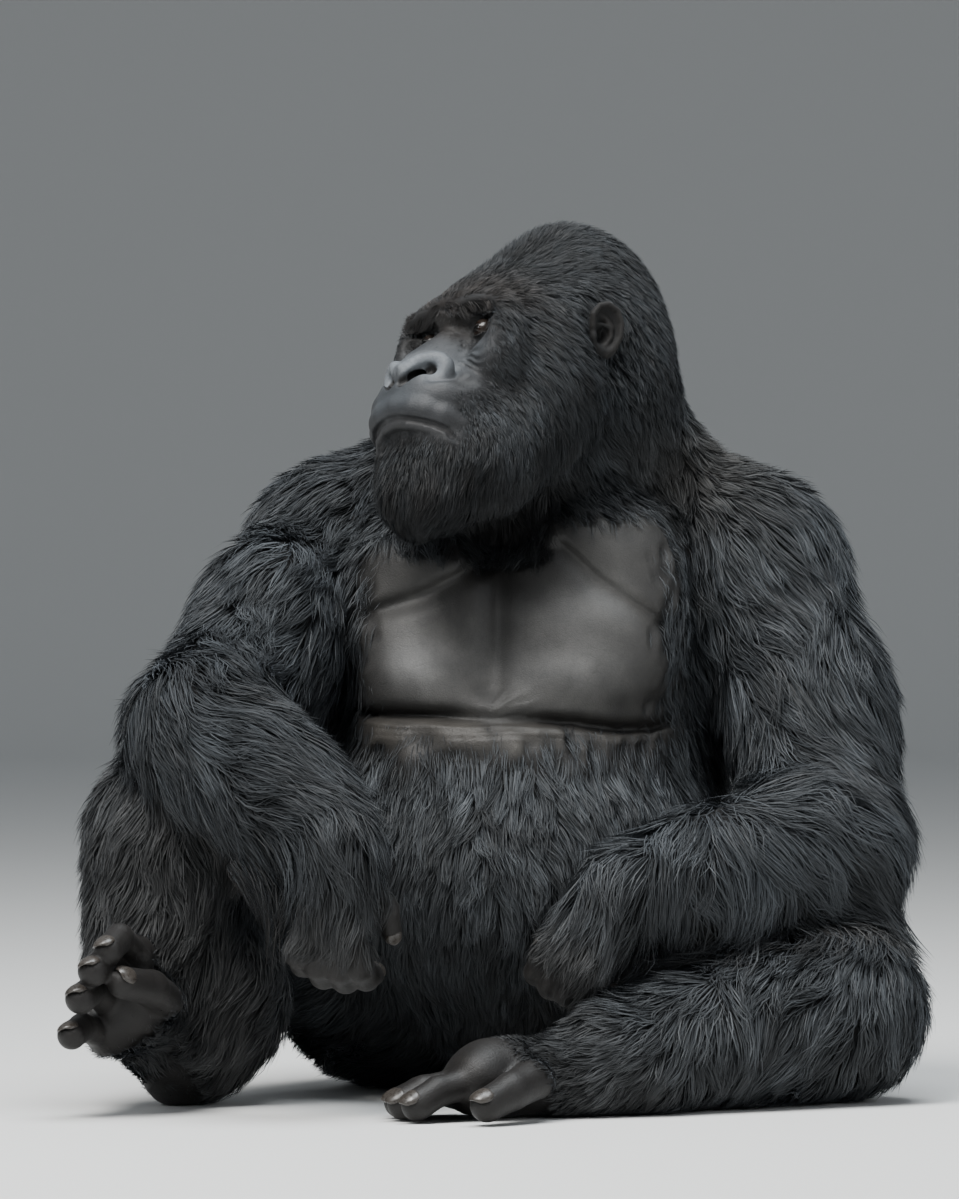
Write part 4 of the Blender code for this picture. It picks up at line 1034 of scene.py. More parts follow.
    # painted shadow: the skin of the throat is darkened where the head's shadow falls under the chin
    throat_shadow = np.exp(-(np.sqrt(((P - f32((0.010, -0.165, 0.690))) ** 2).sum(1)) / 0.105) ** 4)
    col = mix(col, (0.0035, 0.0032, 0.0030), throat_shadow * 0.95)
    col = mix(col, (0.0130, 0.0132, 0.0138), np.clip(w["trunk"] + w["neck"], 0, 1) * (1 - np.abs(2 * bare - 1)) * 0.8)
    ends = np.zeros(len(P), np.float32)
    for s in "LR":
        ends += bare * (w["hand_" + s] + w["foot_" + s])
    col = mix(col, (0.0080, 0.0070, 0.0064), np.clip(ends, 0, 1))
    col = mix(col, (0.0030, 0.0028, 0.0026), ear_share(P))
    for s, d in (("L", 1), ("R", -1)):
        near_ear = ((P - f32(head_point(d * 0.112, -0.150, 0.006))) ** 2).sum(1) < 0.060 ** 2
        if near_ear.any():
            q = ear_frame(P[near_ear], s)
            # painted highlight: the ear's rim and inner fold are lighter than the dark bowl between them
            folds = np.minimum(tube(q, HELIX, 0.0), tube(q, ANTIHELIX, 0.0))
            col[near_ear] = mix(col[near_ear], (0.0080, 0.0071, 0.0064), np.exp(-(np.maximum(folds - 0.0025, 0) / 0.0020) ** 2))
    return np.clip(col * (1 + 0.10 * waves(P, 0.05, 31)[:, None]), 0.003, 1)


def colour_layer(mesh, name, colours):
    layer = mesh.color_attributes.new(name, "FLOAT_COLOR", "POINT")
    full = np.ones((len(colours), 4), np.float32)
    full[:, :colours.shape[1]] = colours
    layer.data.foreach_set("color", full.ravel())
    return layer


class Nodes:
    """Small helper for writing a node tree."""

    def __init__(self, name):
        self.mat = bpy.data.materials.new(name)
        self.mat.use_nodes = True
        self.tree = self.mat.node_tree
        self.shader = self.tree.nodes["Principled BSDF"]

    def add(self, kind, **values):
        node = self.tree.nodes.new(kind)
        for k, v in values.items():
            if k in node.inputs:
                node.inputs[k].default_value = v
            else:
                setattr(node, k, v)
        return node

    def link(self, a, b):
        self.tree.links.new(a, b)

    def math(self, op, a, b=None, clamp=False):
        node = self.add("ShaderNodeMath", operation=op, use_clamp=clamp)
        for i, v in enumerate((a, b)):
            if v is None:
                continue
            if isinstance(v, (int, float)):
                node.inputs[i].default_value = v
            else:
                self.link(v, node.inputs[i])
        return node.outputs[0]

    def blend(self, kind, fac, a, b):
        node = self.add("ShaderNodeMix", data_type="RGBA", blend_type=kind)
        for i, v in ((0, fac), (6, a), (7, b)):
            if isinstance(v, (int, float)):
                node.inputs[i].default_value = v
            elif isinstance(v, tuple):
                node.inputs[i].default_value = v
            else:
                self.link(v, node.inputs[i])
        return node.outputs[2]

    def ramp(self, value, lo, hi, a, b):
        node = self.add("ShaderNodeMapRange")
        node.interpolation_type = "SMOOTHSTEP"
        self.link(value, node.inputs["Value"])
        for k, v in (("From Min", lo), ("From Max", hi), ("To Min", a), ("To Max", b)):
            node.inputs[k].default_value = v
        return node.outputs["Result"]


def skin_material():
    n = Nodes("gorilla_skin")
    where = n.add("ShaderNodeTexCoord").outputs["Object"]
    tint = n.add("ShaderNodeAttribute", attribute_name="tint")
    kind = n.add("ShaderNodeAttribute", attribute_name="kind")      # r: bare, g: face, b: gloss
    sep = n.add("ShaderNodeSeparateColor")
    n.link(kind.outputs["Color"], sep.inputs[0])
    patch = n.add("ShaderNodeTexNoise", Scale=38.0, Detail=6.0, Roughness=0.62)
    n.link(where, patch.inputs["Vector"])
    fine = n.add("ShaderNodeTexNoise", Scale=520.0, Detail=5.0, Roughness=0.65)
    n.link(where, fine.inputs["Vector"])
    cells = n.add("ShaderNodeTexVoronoi", Scale=330.0, feature="DISTANCE_TO_EDGE")
    warp = n.add("ShaderNodeVectorMath", operation="MULTIPLY_ADD")
    n.link(patch.outputs["Color"], warp.inputs[0]); warp.inputs[1].default_value = (0.012, 0.012, 0.012); n.link(where, warp.inputs[2])
    n.link(warp.outputs[0], cells.inputs["Vector"])
    big = n.add("ShaderNodeTexVoronoi", Scale=95.0, feature="DISTANCE_TO_EDGE")
    n.link(warp.outputs[0], big.inputs["Vector"])
    edge = n.ramp(cells.outputs["Distance"], 0.0, 0.16, 0.0, 1.0)
    crease = n.ramp(big.outputs["Distance"], 0.0, 0.09, 0.0, 1.0)
    col = n.blend("MULTIPLY", 1.0, tint.outputs["Color"], n.blend("MIX", patch.outputs["Fac"], (0.56, 0.56, 0.58, 1), (1.46, 1.44, 1.42, 1)))
    col = n.blend("MULTIPLY", 1.0, col, n.blend("MIX", edge, (0.90, 0.90, 0.90, 1), (1.02, 1.02, 1.02, 1)))
    col = n.blend("MULTIPLY", 1.0, col, n.blend("MIX", crease, (0.94, 0.94, 0.94, 1), (1.01, 1.01, 1.01, 1)))
    n.link(col, n.shader.inputs["Base Color"])
    rough = n.math("MULTIPLY_ADD", fine.outputs["Fac"], 0.16)
    rough.node.inputs[2].default_value = 0.32
    rough = n.math("ADD", rough, n.math("MULTIPLY", n.math("SUBTRACT", 1.0, sep.outputs["Blue"]), 0.10))
    rough = n.math("ADD", rough, n.math("MULTIPLY", sep.outputs["Green"], 0.10))
    rough = n.math("ADD", rough, n.math("MULTIPLY", n.math("SUBTRACT", 1.0, sep.outputs["Red"]), 0.25), clamp=True)
    n.link(rough, n.shader.inputs["Roughness"])
    height = n.math("ADD", n.math("MULTIPLY", edge, 0.24), n.math("MULTIPLY", crease, 0.16))
    height = n.math("ADD", height, n.math("MULTIPLY", fine.outputs["Fac"], 0.9))
    bump_node = n.add("ShaderNodeBump", Strength=0.60, Distance=0.0006)
    n.link(height, bump_node.inputs["Height"])
    n.link(bump_node.outputs[0], n.shader.inputs["Normal"])
    n.shader.inputs["Specular IOR Level"].default_value = 0.30
    n.shader.inputs["Sheen Weight"].default_value = 0.02
    n.shader.inputs["Sheen Roughness"].default_value = 0.5
    return n.mat


def eye_pieces():
    """Eyeballs with a raised cornea; the iris and pupil are rings about the way each eye looks."""
    look = unit(HEAD_M @ np.array([-0.10, 1.0, 0.10]))
    side = unit(np.cross(look, (0, 0, 1))); up = np.cross(side, look)
    R = EYE_R
    rings, seg = 40, 64
    theta = np.concatenate([[0.0], np.linspace(0.03, math.pi, rings)])
    pts, col = [], []
    for th in theta:
        r = R
        c = math.cos(th)
        cornea = math.exp(-(th / 0.42) ** 4)
        r = R * (1 + 0.055 * cornea)
        for k in range(seg):
            ph = 2 * math.pi * k / seg
            d = look * c + math.sin(th) * (side * math.cos(ph) + up * math.sin(ph))
            pts.append(d * r)
            col.append((th / math.pi, ph / (2 * math.pi), 0.0))
    pts, col = np.array(pts), np.array(col, np.float32)
    quads = [(i * seg + k, i * seg + (k + 1) % seg, (i + 1) * seg + (k + 1) % seg, (i + 1) * seg + k) for i in range(len(theta) - 1) for k in range(seg)]
    n = Nodes("gorilla_eye")
    ring = n.add("ShaderNodeAttribute", attribute_name="ring")
    sep = n.add("ShaderNodeSeparateColor"); n.link(ring.outputs["Color"], sep.inputs[0])
    streak = n.add("ShaderNodeTexNoise", Scale=700.0, Detail=3.0)
    n.link(n.add("ShaderNodeTexCoord").outputs["Object"], streak.inputs["Vector"])
    t = sep.outputs["Red"]
    white = n.blend("MIX", streak.outputs["Fac"], (0.010, 0.0075, 0.006, 1), (0.024, 0.018, 0.0150, 1))
    iris = n.blend("MIX", streak.outputs["Fac"], (0.0034, 0.0028, 0.0024, 1), (0.0075, 0.0056, 0.0044, 1))
    limb = n.ramp(t, 0.150, 0.172, 0.0, 1.0)
    c = n.blend("MIX", limb, iris, white)
    dark_ring = n.math("MULTIPLY", n.ramp(t, 0.128, 0.155, 0.0, 1.0), n.ramp(t, 0.160, 0.200, 1.0, 0.0))
    c = n.blend("MIX", dark_ring, c, (0.012, 0.006, 0.004, 1))
    c = n.blend("MIX", n.ramp(t, 0.066, 0.076, 1.0, 0.0), c, (0.002, 0.002, 0.002, 1))
    n.link(c, n.shader.inputs["Base Color"])
    n.link(n.ramp(t, 0.15, 0.22, 0.12, 0.24), n.shader.inputs["Roughness"])
    n.shader.inputs["Coat Weight"].default_value = 0.06
    n.shader.inputs["Specular IOR Level"].default_value = 0.28
    n.shader.inputs["Coat Roughness"].default_value = 0.02
    for s, d in (("L", 1), ("R", -1)):
        obj = mesh_object("eyeball_" + s, pts + head_point(d * EYE_HALF, -0.012, 0.0), quads, np.zeros((0, 3), int))
        colour_layer(obj.data, "ring", col)
        obj.data.materials.append(n.mat)
        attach(obj, "root"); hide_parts("eye_" + s)


def nail_pieces():
    """A curved plate on the back of each finger and toe tip."""
    tips = []
    for s in "LR":
        O, M = hand_frame(s)
        last = {}
        for a, b, ra, rb, i, k in hand_segments(s):
            last[i] = (a, b, rb)
        for i, (a, b, r) in last.items():
            back = M[:, 2] if i < 4 else unit(M[:, 2] + 0.6 * M[:, 1] * (1 if s == "R" else -1))
            tips.append((f"finger_{s}{i}", a, b, r, back))
        sole = unit(np.cross(np.array(TOES[s][3][0]) - np.array(TOES[s][0][0]), np.array(BALL[s]) - np.array(HEEL[s])))
        for i, (a, b, c, r) in enumerate(TOES[s] + [GREAT_TOE[s]]):
            a, b, c = map(np.array, (a, b, c))
            if s == "R":
                back = np.array((-0.35, -0.30, 0.88)) if i < 4 else np.array((0.55, -0.30, 0.75))
            else:
                back = np.array((0.05, -0.10, 1.0))
            tips.append((f"toe_{s}{i}", b, c, r * (0.92 if i == 4 else 1.0), back))
    n = Nodes("gorilla_nail")
    where = n.add("ShaderNodeTexCoord").outputs["Object"]
    streak = n.add("ShaderNodeTexNoise", Scale=300.0, Detail=5.0, Roughness=0.6)
    n.link(where, streak.inputs["Vector"])
    patch = n.add("ShaderNodeTexNoise", Scale=60.0, Detail=3.0)
    n.link(where, patch.inputs["Vector"])
    c = n.blend("MIX", streak.outputs["Fac"], (0.018, 0.0155, 0.014, 1), (0.054, 0.047, 0.041, 1))
    c = n.blend("MULTIPLY", 1.0, c, n.blend("MIX", patch.outputs["Fac"], (0.6, 0.6, 0.6, 1), (1.4, 1.38, 1.35, 1)))
    n.link(c, n.shader.inputs["Base Color"])
    n.link(n.ramp(streak.outputs["Fac"], 0.3, 0.7, 0.24, 0.42), n.shader.inputs["Roughness"])
    b = n.add("ShaderNodeBump", Strength=0.35, Distance=0.0004)
    n.link(streak.outputs["Fac"], b.inputs["Height"]); n.link(b.outputs[0], n.shader.inputs["Normal"])
    points, quads = [], []
    nu, nv = 13, 11
    for name, a, b, r, back in tips:
        axis = unit(b - a)
        back = unit(back - axis * (back @ axis)); side = np.cross(axis, back)
        base = len(points)
        for inner in (0, 1):
            for j in range(nv):
                v = j / (nv - 1)                         # from the root to the free edge
                for i in range(nu):
                    u = i / (nu - 1) * 2 - 1
                    wide = 0.98 * (1 - 0.30 * v ** 4) * (0.86 + 0.14 * math.sin(math.pi * min(v * 1.6, 1) / 2))
                    th = u * wide
                    along = -0.25 * r + 1.28 * r * v - 0.16 * r * u * u * (1 if v > 0.5 else -1) * abs(2 * v - 1)
                    drop = r * 0.34 * max(v - 0.35, 0) ** 2 * 1.5
                    rr = r * (1.035 if not inner else 0.93) - drop
                    rim = 1 - 0.05 * (abs(u) ** 8 + (2 * abs(v - 0.5)) ** 8) if not inner else 1.0
                    p = b + axis * along + (back * math.cos(th) + side * math.sin(th)) * rr * rim
                    points.append(p)
        m = nu * nv
        for j in range(nv - 1):
            for i in range(nu - 1):
                q = base + j * nu + i
                quads.append((q, q + nu, q + nu + 1, q + 1))
                quads.append((q + m, q + m + 1, q + m + nu + 1, q + m + nu))
        ring = [i for i in range(nu)] + [j * nu + nu - 1 for j in range(1, nv)] + [(nv - 1) * nu + i for i in range(nu - 2, -1, -1)] + [j * nu for j in range(nv - 2, 0, -1)]
        for k in range(len(ring)):
            i, j = ring[k], ring[(k + 1) % len(ring)]
            quads.append((base + i, base + j, base + m + j, base + m + i))
    obj = mesh_object("nails", np.array(points), quads, np.zeros((0, 3), int))
    obj.data.materials.append(n.mat)
    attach(obj, "root")


# ---------------------------------------------------------------- skin
points, quads, tris = dual_mesh()
points, normals = settle(points)
clock("skin settled")


def marks_at(P, names):
    """coat depth, bare share, and each part's weight, in one row."""
    F, whole, depth, bare, W = outer_and_depth(P, names)
    return np.concatenate([whole[:, None], depth[:, None], bare[:, None], W], 1)


def marks(P):
    M = in_blocks(marks_at, P, 3 + len(NAMES))
    return M[:, 0], M[:, 1], M[:, 2], M[:, 3:]


outer_v, depth_v, bare_v, weight_v = marks(points)
skin = mesh_object("skin", points, quads, tris)
colour_layer(skin.data, "tint", skin_colour(points, weight_v, bare_v))
gloss = np.clip(weight_v[:, NAMES.index("head")] * 0.9 + 0.35 * weight_v[:, NAMES.index("trunk")], 0, 1)
colour_layer(skin.data, "kind", np.stack([bare_v, weight_v[:, NAMES.index("head")], gloss], 1))
skin.data.materials.append(skin_material())
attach(skin, "root")
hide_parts(*[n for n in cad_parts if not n.startswith("eye_")])
eye_pieces()
nail_pieces()
clock("skin, eyes and nails")


# ---------------------------------------------------------------- the coat's lie
GRID_H = 0.008
GRID_LO = np.array([-0.58, -0.66, -0.03])
GRID_N = np.array([146, 130, 142])
CHANNELS = 8                                       # skin, outer form, depth, three of the lie, and two spare


def lie(P, F, W):
    """Which way the hair points at each place, before it is laid along the skin."""
    n = len(P)
    w = {k: W[:, i:i + 1] for i, k in enumerate(NAMES)}
    T = trunk_frame(P)
    out_xy = P - f32((0.020, 0.060, 0)); out_xy[:, 2] = 0
    out_xy /= np.maximum(np.linalg.norm(out_xy, axis=1, keepdims=True), 0.02)
    down = np.tile(f32((0, 0, -1)), (n, 1))
    D = np.zeros((n, 3), np.float32)
    front = ramp(-T[:, 1], 0.0, 0.10)[:, None]
    D += w["trunk"] * (down + (0.35 - 0.20 * front) * out_xy)
    D += w["neck"] * (down * 0.9 + 0.45 * out_xy + f32((0, 0.15, 0)))
    # head: back over the crown from the brow, down the cheeks and beard
    Q = head_frame(P)
    L, B, U = (f32(HEAD_M[:, 0]), -f32(HEAD_M[:, 1]), f32(HEAD_M[:, 2]))
    s = np.sign(Q[:, 0])[:, None]
    over_eye = 0.034 * ramp(Q[:, 1], -0.06, -0.01) * (1 - ramp(np.abs(Q[:, 0]), 0.075, 0.095))
    top = ramp(Q[:, 2] + over_eye - 0.35 * np.minimum(-Q[:, 1], 0.12), -0.010, 0.050)[:, None]
    behind = ramp(-Q[:, 1], 0.15, 0.24)[:, None]
    temple = ramp(np.abs(Q[:, 0]), 0.035, 0.085)[:, None]
    crown = B * 1.0 + s * L * 0.35 * temple - U * 0.15
    cheek = -U * 0.85 + B * (0.38 - 0.2 * ramp(-Q[:, 2], 0.06, 0.16)[:, None]) + down * 0.45
    nape = -U * 0.9 + B * 0.25 + s * L * 0.1 + down * 0.4
    H = cheek * (1 - top) + crown * top
    H = H * (1 - behind) + nape * behind
    # round the eye and cheek the hair turns outwards from the face
    rim = np.exp(-(((np.abs(Q[:, 0]) - 0.098) / 0.022) ** 2))[:, None] * ramp(Q[:, 1], -0.07, -0.02)[:, None] * ramp(Q[:, 2], -0.09, -0.02)[:, None]
    H = H + rim * (s * L * 0.9 + B * 0.5)
    beard = ramp(-Q[:, 2], 0.130, 0.165)[:, None] * ramp(Q[:, 1], -0.02, 0.03)[:, None]
    H = H * (1 - beard) + beard * (down * 0.9 - U * 0.5 - B * 0.25 + s * L * 0.25)
    D += w["head"] * H
    for k in "LR":
        d = 1.0 if k == "L" else -1.0
        S_, E_, V_ = (np.array(JOINTS[j + k]) for j in ("shoulder_", "elbow_", "wrist_"))
        arm = f32(unit(E_ - S_)); fore = f32(unit(V_ - E_))
        side_out = f32((d, 0, 0))
        D += w["upper_arm_" + k] * (arm * 0.8 + down * 0.35 + side_out * (0.22 if k == "L" else 0.05) + 0.20 * out_xy)
        t = np.clip(((P - f32(E_)) @ f32(V_ - E_)) / float((V_ - E_) @ (V_ - E_)), 0, 1)[:, None]
        if k == "R":
            under = ramp(-(P[:, 2] - (E_[2] + (V_[2] - E_[2]) * t[:, 0])), -0.02, 0.07)[:, None]
            D += w["forearm_R"] * (fore * (1.0 - 0.75 * under) + down * (0.15 + 0.75 * under) - side_out * 0.1)
        else:
            far = ramp(P[:, 0], 0.24, 0.36)[:, None]
            D += w["forearm_L"] * (down * 0.8 - fore * (0.75 * far - 0.12) + f32((0, -0.12, 0)))
        O, M = hand_frame(k)
        D += w["hand_" + k] * f32(M[:, 0]) * 1.0
        H_, K_, A_ = (np.array(JOINTS[j + k]) for j in ("hip_", "knee_", "ankle_"))
        D += w["thigh_" + k] * (f32(unit(K_ - H_)) * 0.5 + down * 0.6)
        if k == "R":
            D += w["shin_R"] * (f32(unit(A_ - K_)) * 0.7 + down * 0.35 + f32((-0.40, 0, 0)))
        else:
            D += w["shin_L"] * (f32(unit(A_ - K_)) * 0.45 + down * 0.7)
        D += w["foot_" + k] * (f32(unit(np.array(BALL[k]) - np.array(HEEL[k]))) + down * 0.25)
    # a slow drift from side to side
    D = D / np.maximum(np.linalg.norm(D, axis=1, keepdims=True), 0.05)
    wild = 1 - 0.45 * W[:, NAMES.index("head")] - 0.55 * W[:, NAMES.index("trunk")]
    D = D + (np.stack([waves(P, 0.15, 41), waves(P, 0.15, 43), 0.5 * waves(P, 0.15, 44)], 1) * 0.34
             + np.stack([waves(P, 0.050, 42), waves(P, 0.050, 45), 0.5 * waves(P, 0.050, 46)], 1) * 0.24) * wild[:, None]
    return D / np.maximum(np.linalg.norm(D, axis=1, keepdims=True), 0.05)


def grid_at(P, names):
    F, whole, depth, bare, W = outer_and_depth(P, names)
    return np.concatenate([(whole + depth)[:, None], whole[:, None], depth[:, None], lie(P, F, W)], 1)


def make_grid():
    """The skin, the coat's outer form, its depth and its lie, on a grid near the surface."""
    coarse = 4
    n = GRID_N // coarse + 1
    c = np.stack(np.meshgrid(*[np.arange(k) for k in n], indexing="ij"), -1).reshape(-1, 3)
    centre = GRID_LO + (c * coarse + coarse / 2) * GRID_H

    def outer(P, names):
        return union(P, parts_at(P, names))
    v = in_blocks(outer, centre, 1)
    c = c[np.abs(v) < 0.085]
    off = np.stack(np.meshgrid(*[np.arange(coarse)] * 3, indexing="ij"), -1).reshape(-1, 3)
    cells = (c[:, None] * coarse + off).reshape(-1, 3)
    cells = cells[(cells < GRID_N).all(1)]
    rows = in_blocks(grid_at, GRID_LO + cells * GRID_H, 6)
    grid = np.zeros((*GRID_N, 6), np.float32)
    grid[..., 0] = grid[..., 1] = 0.08
    grid[cells[:, 0], cells[:, 1], cells[:, 2]] = rows
    return grid


def look_up(grid, P, what=slice(None)):
    q = (np.asarray(P, np.float64) - GRID_LO) / GRID_H
    i = np.clip(np.floor(q).astype(np.int64), 0, GRID_N - 2)
    t = (q - i).astype(np.float32)
    out = 0
    for c in range(8):
        d = ((c >> 0) & 1, (c >> 1) & 1, (c >> 2) & 1)
        w = np.ones(len(q), np.float32)
        for a in range(3):
            w *= t[:, a] if d[a] else 1 - t[:, a]
        out = out + w[:, None] * grid[i[:, 0] + d[0], i[:, 1] + d[1], i[:, 2] + d[2]][:, what]
    return out


def slope(grid, P, channel):
    e = GRID_H * 0.75
    g = np.stack([look_up(grid, P + v, slice(channel, channel + 1))[:, 0] - look_up(grid, P - v, slice(channel, channel + 1))[:, 0] for v in np.eye(3) * e], 1)
    return g / np.maximum(np.linalg.norm(g, axis=1, keepdims=True), 1e-5)


# length, width and closeness of the hair of each part, in metres as drawn
HAIR = {"head": (0.022, 0.00082, 1.05), "neck": (0.038, 0.0013, 1.0), "trunk": (0.043, 0.00115, 0.92), "upper_arm_L": (0.082, 0.0015, 1.1), "upper_arm_R": (0.074, 0.0015, 1.1),
        "forearm_L": (0.092, 0.0015, 1.25), "forearm_R": (0.088, 0.0015, 1.3), "hand_L": (0.036, 0.0013, 1.0), "hand_R": (0.050, 0.0014, 1.2),
        "thigh_L": (0.056, 0.0017, 1.0), "thigh_R": (0.056, 0.0017, 0.9), "shin_L": (0.062, 0.0016, 1.05), "shin_R": (0.064, 0.0016, 1.15), "foot_L": (0.018, 0.0013, 0.9), "foot_R": (0.034, 0.0013, 1.0)}
COVER = 4.4                                         # layers of hair over any place
MOST_FACES = 1_440_000


def scatter(points, normals, quads, tris, weights, bare, grid, rng):
    """Roots over the skin's triangles, closer where the hair is short and thin."""
    T = np.concatenate([quads[:, [0, 1, 2]], quads[:, [0, 2, 3]], tris])
    p = points[T]
    area = 0.5 * np.linalg.norm(np.cross(p[:, 1] - p[:, 0], p[:, 2] - p[:, 0]), axis=1)
    W = weights[T].mean(1)
    b = bare[T].mean(1)
    H = np.array([HAIR[n] for n in NAMES], np.float32)
    hair = W @ H
    c = p.mean(1)
    nrm = normals[T].mean(1)
    # hidden places, pressed against another part or the floor, carry less
    beyond = look_up(grid, c + nrm * 0.045, slice(1, 2))[:, 0]
    hidden = 1 - 0.72 * ramp(-beyond, 0.004, 0.030)
    hidden *= 1 - 0.85 * ((c[:, 2] < 0.012) & (nrm[:, 2] < -0.6))
    rate = COVER * hair[:, 2] / (hair[:, 0] * hair[:, 1] * 0.62) * hidden
    # the chest's lower edge is thinly haired, the face hardly at all
    rate *= np.clip(1 - b * 1.02, 0, 1) ** 0.9 * (1 - 0.92 * ear_share(c))
    rate *= 1 - 0.30 * ramp(trunk_frame(c)[:, 1], 0.06, 0.14) * W[:, NAMES.index("trunk")]
    want = rate * area
    return T, want, hair, W, b


def tidy_frame(t, n):
    side = np.cross(t, n)
    side /= np.maximum(np.linalg.norm(side, axis=1, keepdims=True), 1e-6)
    return side


PIECES = {"coat_face": 0, "coat_crown": 1, "coat_neck": 2, "coat_belly": 3, "coat_back_low": 4, "coat_shoulder_L": 5, "coat_forearm_L": 6,
          "coat_shoulder_R": 7, "coat_forearm_R": 8, "coat_leg_L": 9, "coat_leg_R": 10, "coat_hands_feet": 11, "coat_flanks": 12, "coat_back_high": 13}


def piece_of(P, W):
    """The coat piece each root belongs to."""
    best = np.array(NAMES)[W.argmax(1)]
    Q, T = head_frame(P), trunk_frame(P)
    out = np.full(len(P), PIECES["coat_belly"])
    head = best == "head"
    out[head] = np.where(Q[head][:, 1] > -0.085, PIECES["coat_face"], PIECES["coat_crown"])
    out[best == "neck"] = PIECES["coat_neck"]
    trunk_ = best == "trunk"
    out[trunk_ & (T[:, 1] > 0.085)] = PIECES["coat_back_low"]
    out[trunk_ & (T[:, 1] > 0.085) & (T[:, 2] > 0.40)] = PIECES["coat_back_high"]
    out[trunk_ & (T[:, 1] <= 0.085) & (np.abs(T[:, 0]) > 0.19)] = PIECES["coat_flanks"]
    for s in "LR":
        out[best == "upper_arm_" + s] = PIECES["coat_shoulder_" + s]
        out[best == "forearm_" + s] = PIECES["coat_forearm_" + s]
        out[(best == "thigh_" + s) | (best == "shin_" + s)] = PIECES["coat_leg_" + s]
        out[(best == "hand_" + s) | (best == "foot_" + s)] = PIECES["coat_hands_feet"]
    return out


def grow(grid, root, nrm, length, depth, reach, bend, slack, K):
    """Points and normals along each hair: it lies along the skin, rising to its share of the coat's depth at the tip."""
    n = len(root)
    P = np.empty((n, K + 1, 3), np.float32); G = np.empty((n, K + 1, 3), np.float32)
    P[:, 0] = root - nrm * 0.0015
    G[:, 0] = nrm
    p, g = root.astype(np.float32), nrm.astype(np.float32)
    for k in range(1, K + 1):
        s = k / K
        R = look_up(grid, p)
        D = R[:, 3:6]
        D = D + np.cross(g, D) * bend[:, None]
        dn = (D * g).sum(1)
        D = D - g * dn[:, None] + g * (np.maximum(dn, 0) * (0.35 + np.minimum(slack * 20, 0.5)))[:, None]
        D /= np.maximum(np.linalg.norm(D, axis=1, keepdims=True), 0.05)
        q = p + D * (length / K)[:, None]
        R = look_up(grid, q)
        g2 = R[:, 6:9]
        g2 = g2 / np.maximum(np.linalg.norm(g2, axis=1, keepdims=True), 1e-4)
        g2 = g2 * 0.75 + g * 0.25
        g2 /= np.maximum(np.linalg.norm(g2, axis=1, keepdims=True), 1e-4)
        want = depth * reach * s ** 0.85 + 0.0008
        move = want - R[:, 0]
        move = np.where(move > 0, move, move * np.clip(0.55 - slack * 14, 0.05, 0.55))
        over = R[:, 1] + move - 0.0052 - slack * s
        move = move - np.maximum(over, 0) * 0.9
        q = q + g2 * move[:, None]
        q[:, 2] = np.maximum(q[:, 2], 0.0022)
        # keep the length
        step = q - p
        far = np.linalg.norm(step, axis=1, keepdims=True)
        q = p + step * np.clip((length / K)[:, None] * 1.25 / np.maximum(far, 1e-5), None, 1)
        P[:, k], G[:, k] = q, g2
        p, g = q, g2
    return P, G


def unwrap(P, polys, name):
    """A flat map of a region of the skin: a coarse copy of its faces, opened out by their directions."""
    cell = 0.017
    key = np.floor((P + 2) / cell).astype(np.int64)
    key = (key[:, 0] * 4096 + key[:, 1]) * 4096 + key[:, 2]
    keys, index = np.unique(key, return_inverse=True)
    count = np.bincount(index)
    C = np.stack([np.bincount(index, weights=P[:, a]) for a in range(3)], 1) / count[:, None]
    F = index[polys]
    F = np.concatenate([F[:, [0, 1, 2]], F[:, [0, 2, 3]]])
    F = F[(F[:, 0] != F[:, 1]) & (F[:, 1] != F[:, 2]) & (F[:, 2] != F[:, 0])]
    _, first = np.unique(np.sort(F, axis=1), axis=0, return_index=True)
    F = F[np.sort(first)]
    used, F = np.unique(F.reshape(-1), return_inverse=True)
    C, F = C[used], F.reshape(-1, 3)
    mesh = bpy.data.meshes.new(name)
    mesh.from_pydata(C.tolist(), [], F.tolist())
    mesh.update()
    obj = bpy.data.objects.new(name, mesh)
    bpy.context.scene.collection.objects.link(obj)
    bpy.context.view_layer.objects.active = obj
    for o in bpy.context.selected_objects:
        o.select_set(False)
    obj.select_set(True)
    bpy.ops.object.mode_set(mode="EDIT")
    bpy.ops.mesh.select_all(action="SELECT")
    bpy.ops.uv.smart_project(angle_limit=math.radians(62), island_margin=0.006)
    bpy.ops.object.mode_set(mode="OBJECT")
    uv = np.empty(len(mesh.loops) * 2, np.float32)
    mesh.uv_layers.active.data.foreach_get("uv", uv)
    corner = np.empty(len(mesh.loops), np.int32)
    mesh.loops.foreach_get("vertex_index", corner)
    uv = uv.reshape(-1, 3, 2)
    faces = corner.reshape(-1, 3)
    tree = BVHTree.FromPolygons([Vector(c) for c in C], faces.tolist())
    bpy.data.objects.remove(obj)
    bpy.data.meshes.remove(mesh)
    return tree, C, faces, uv


def root_uv(flat, roots):
    tree, C, faces, uv = flat
    hit = np.zeros(len(roots), np.int64); where = np.zeros((len(roots), 3))
    for i, r in enumerate(roots.tolist()):
        co, _, f, _ = tree.find_nearest(r)
        hit[i] = f; where[i] = co
    T = C[faces[hit]]
    v0, v1, v2 = T[:, 1] - T[:, 0], T[:, 2] - T[:, 0], where - T[:, 0]
    d00, d01, d11 = (v0 * v0).sum(1), (v0 * v1).sum(1), (v1 * v1).sum(1)
    d20, d21 = (v2 * v0).sum(1), (v2 * v1).sum(1)
    den = np.maximum(d00 * d11 - d01 * d01, 1e-14)
    b = np.clip((d11 * d20 - d01 * d21) / den, 0, 1); c = np.clip((d00 * d21 - d01 * d20) / den, 0, 1)
    U = uv[hit]
    out = U[:, 0] * (1 - b - c)[:, None] + U[:, 1] * b[:, None] + U[:, 2] * c[:, None]
    return np.clip(out, 0.003, 0.997)


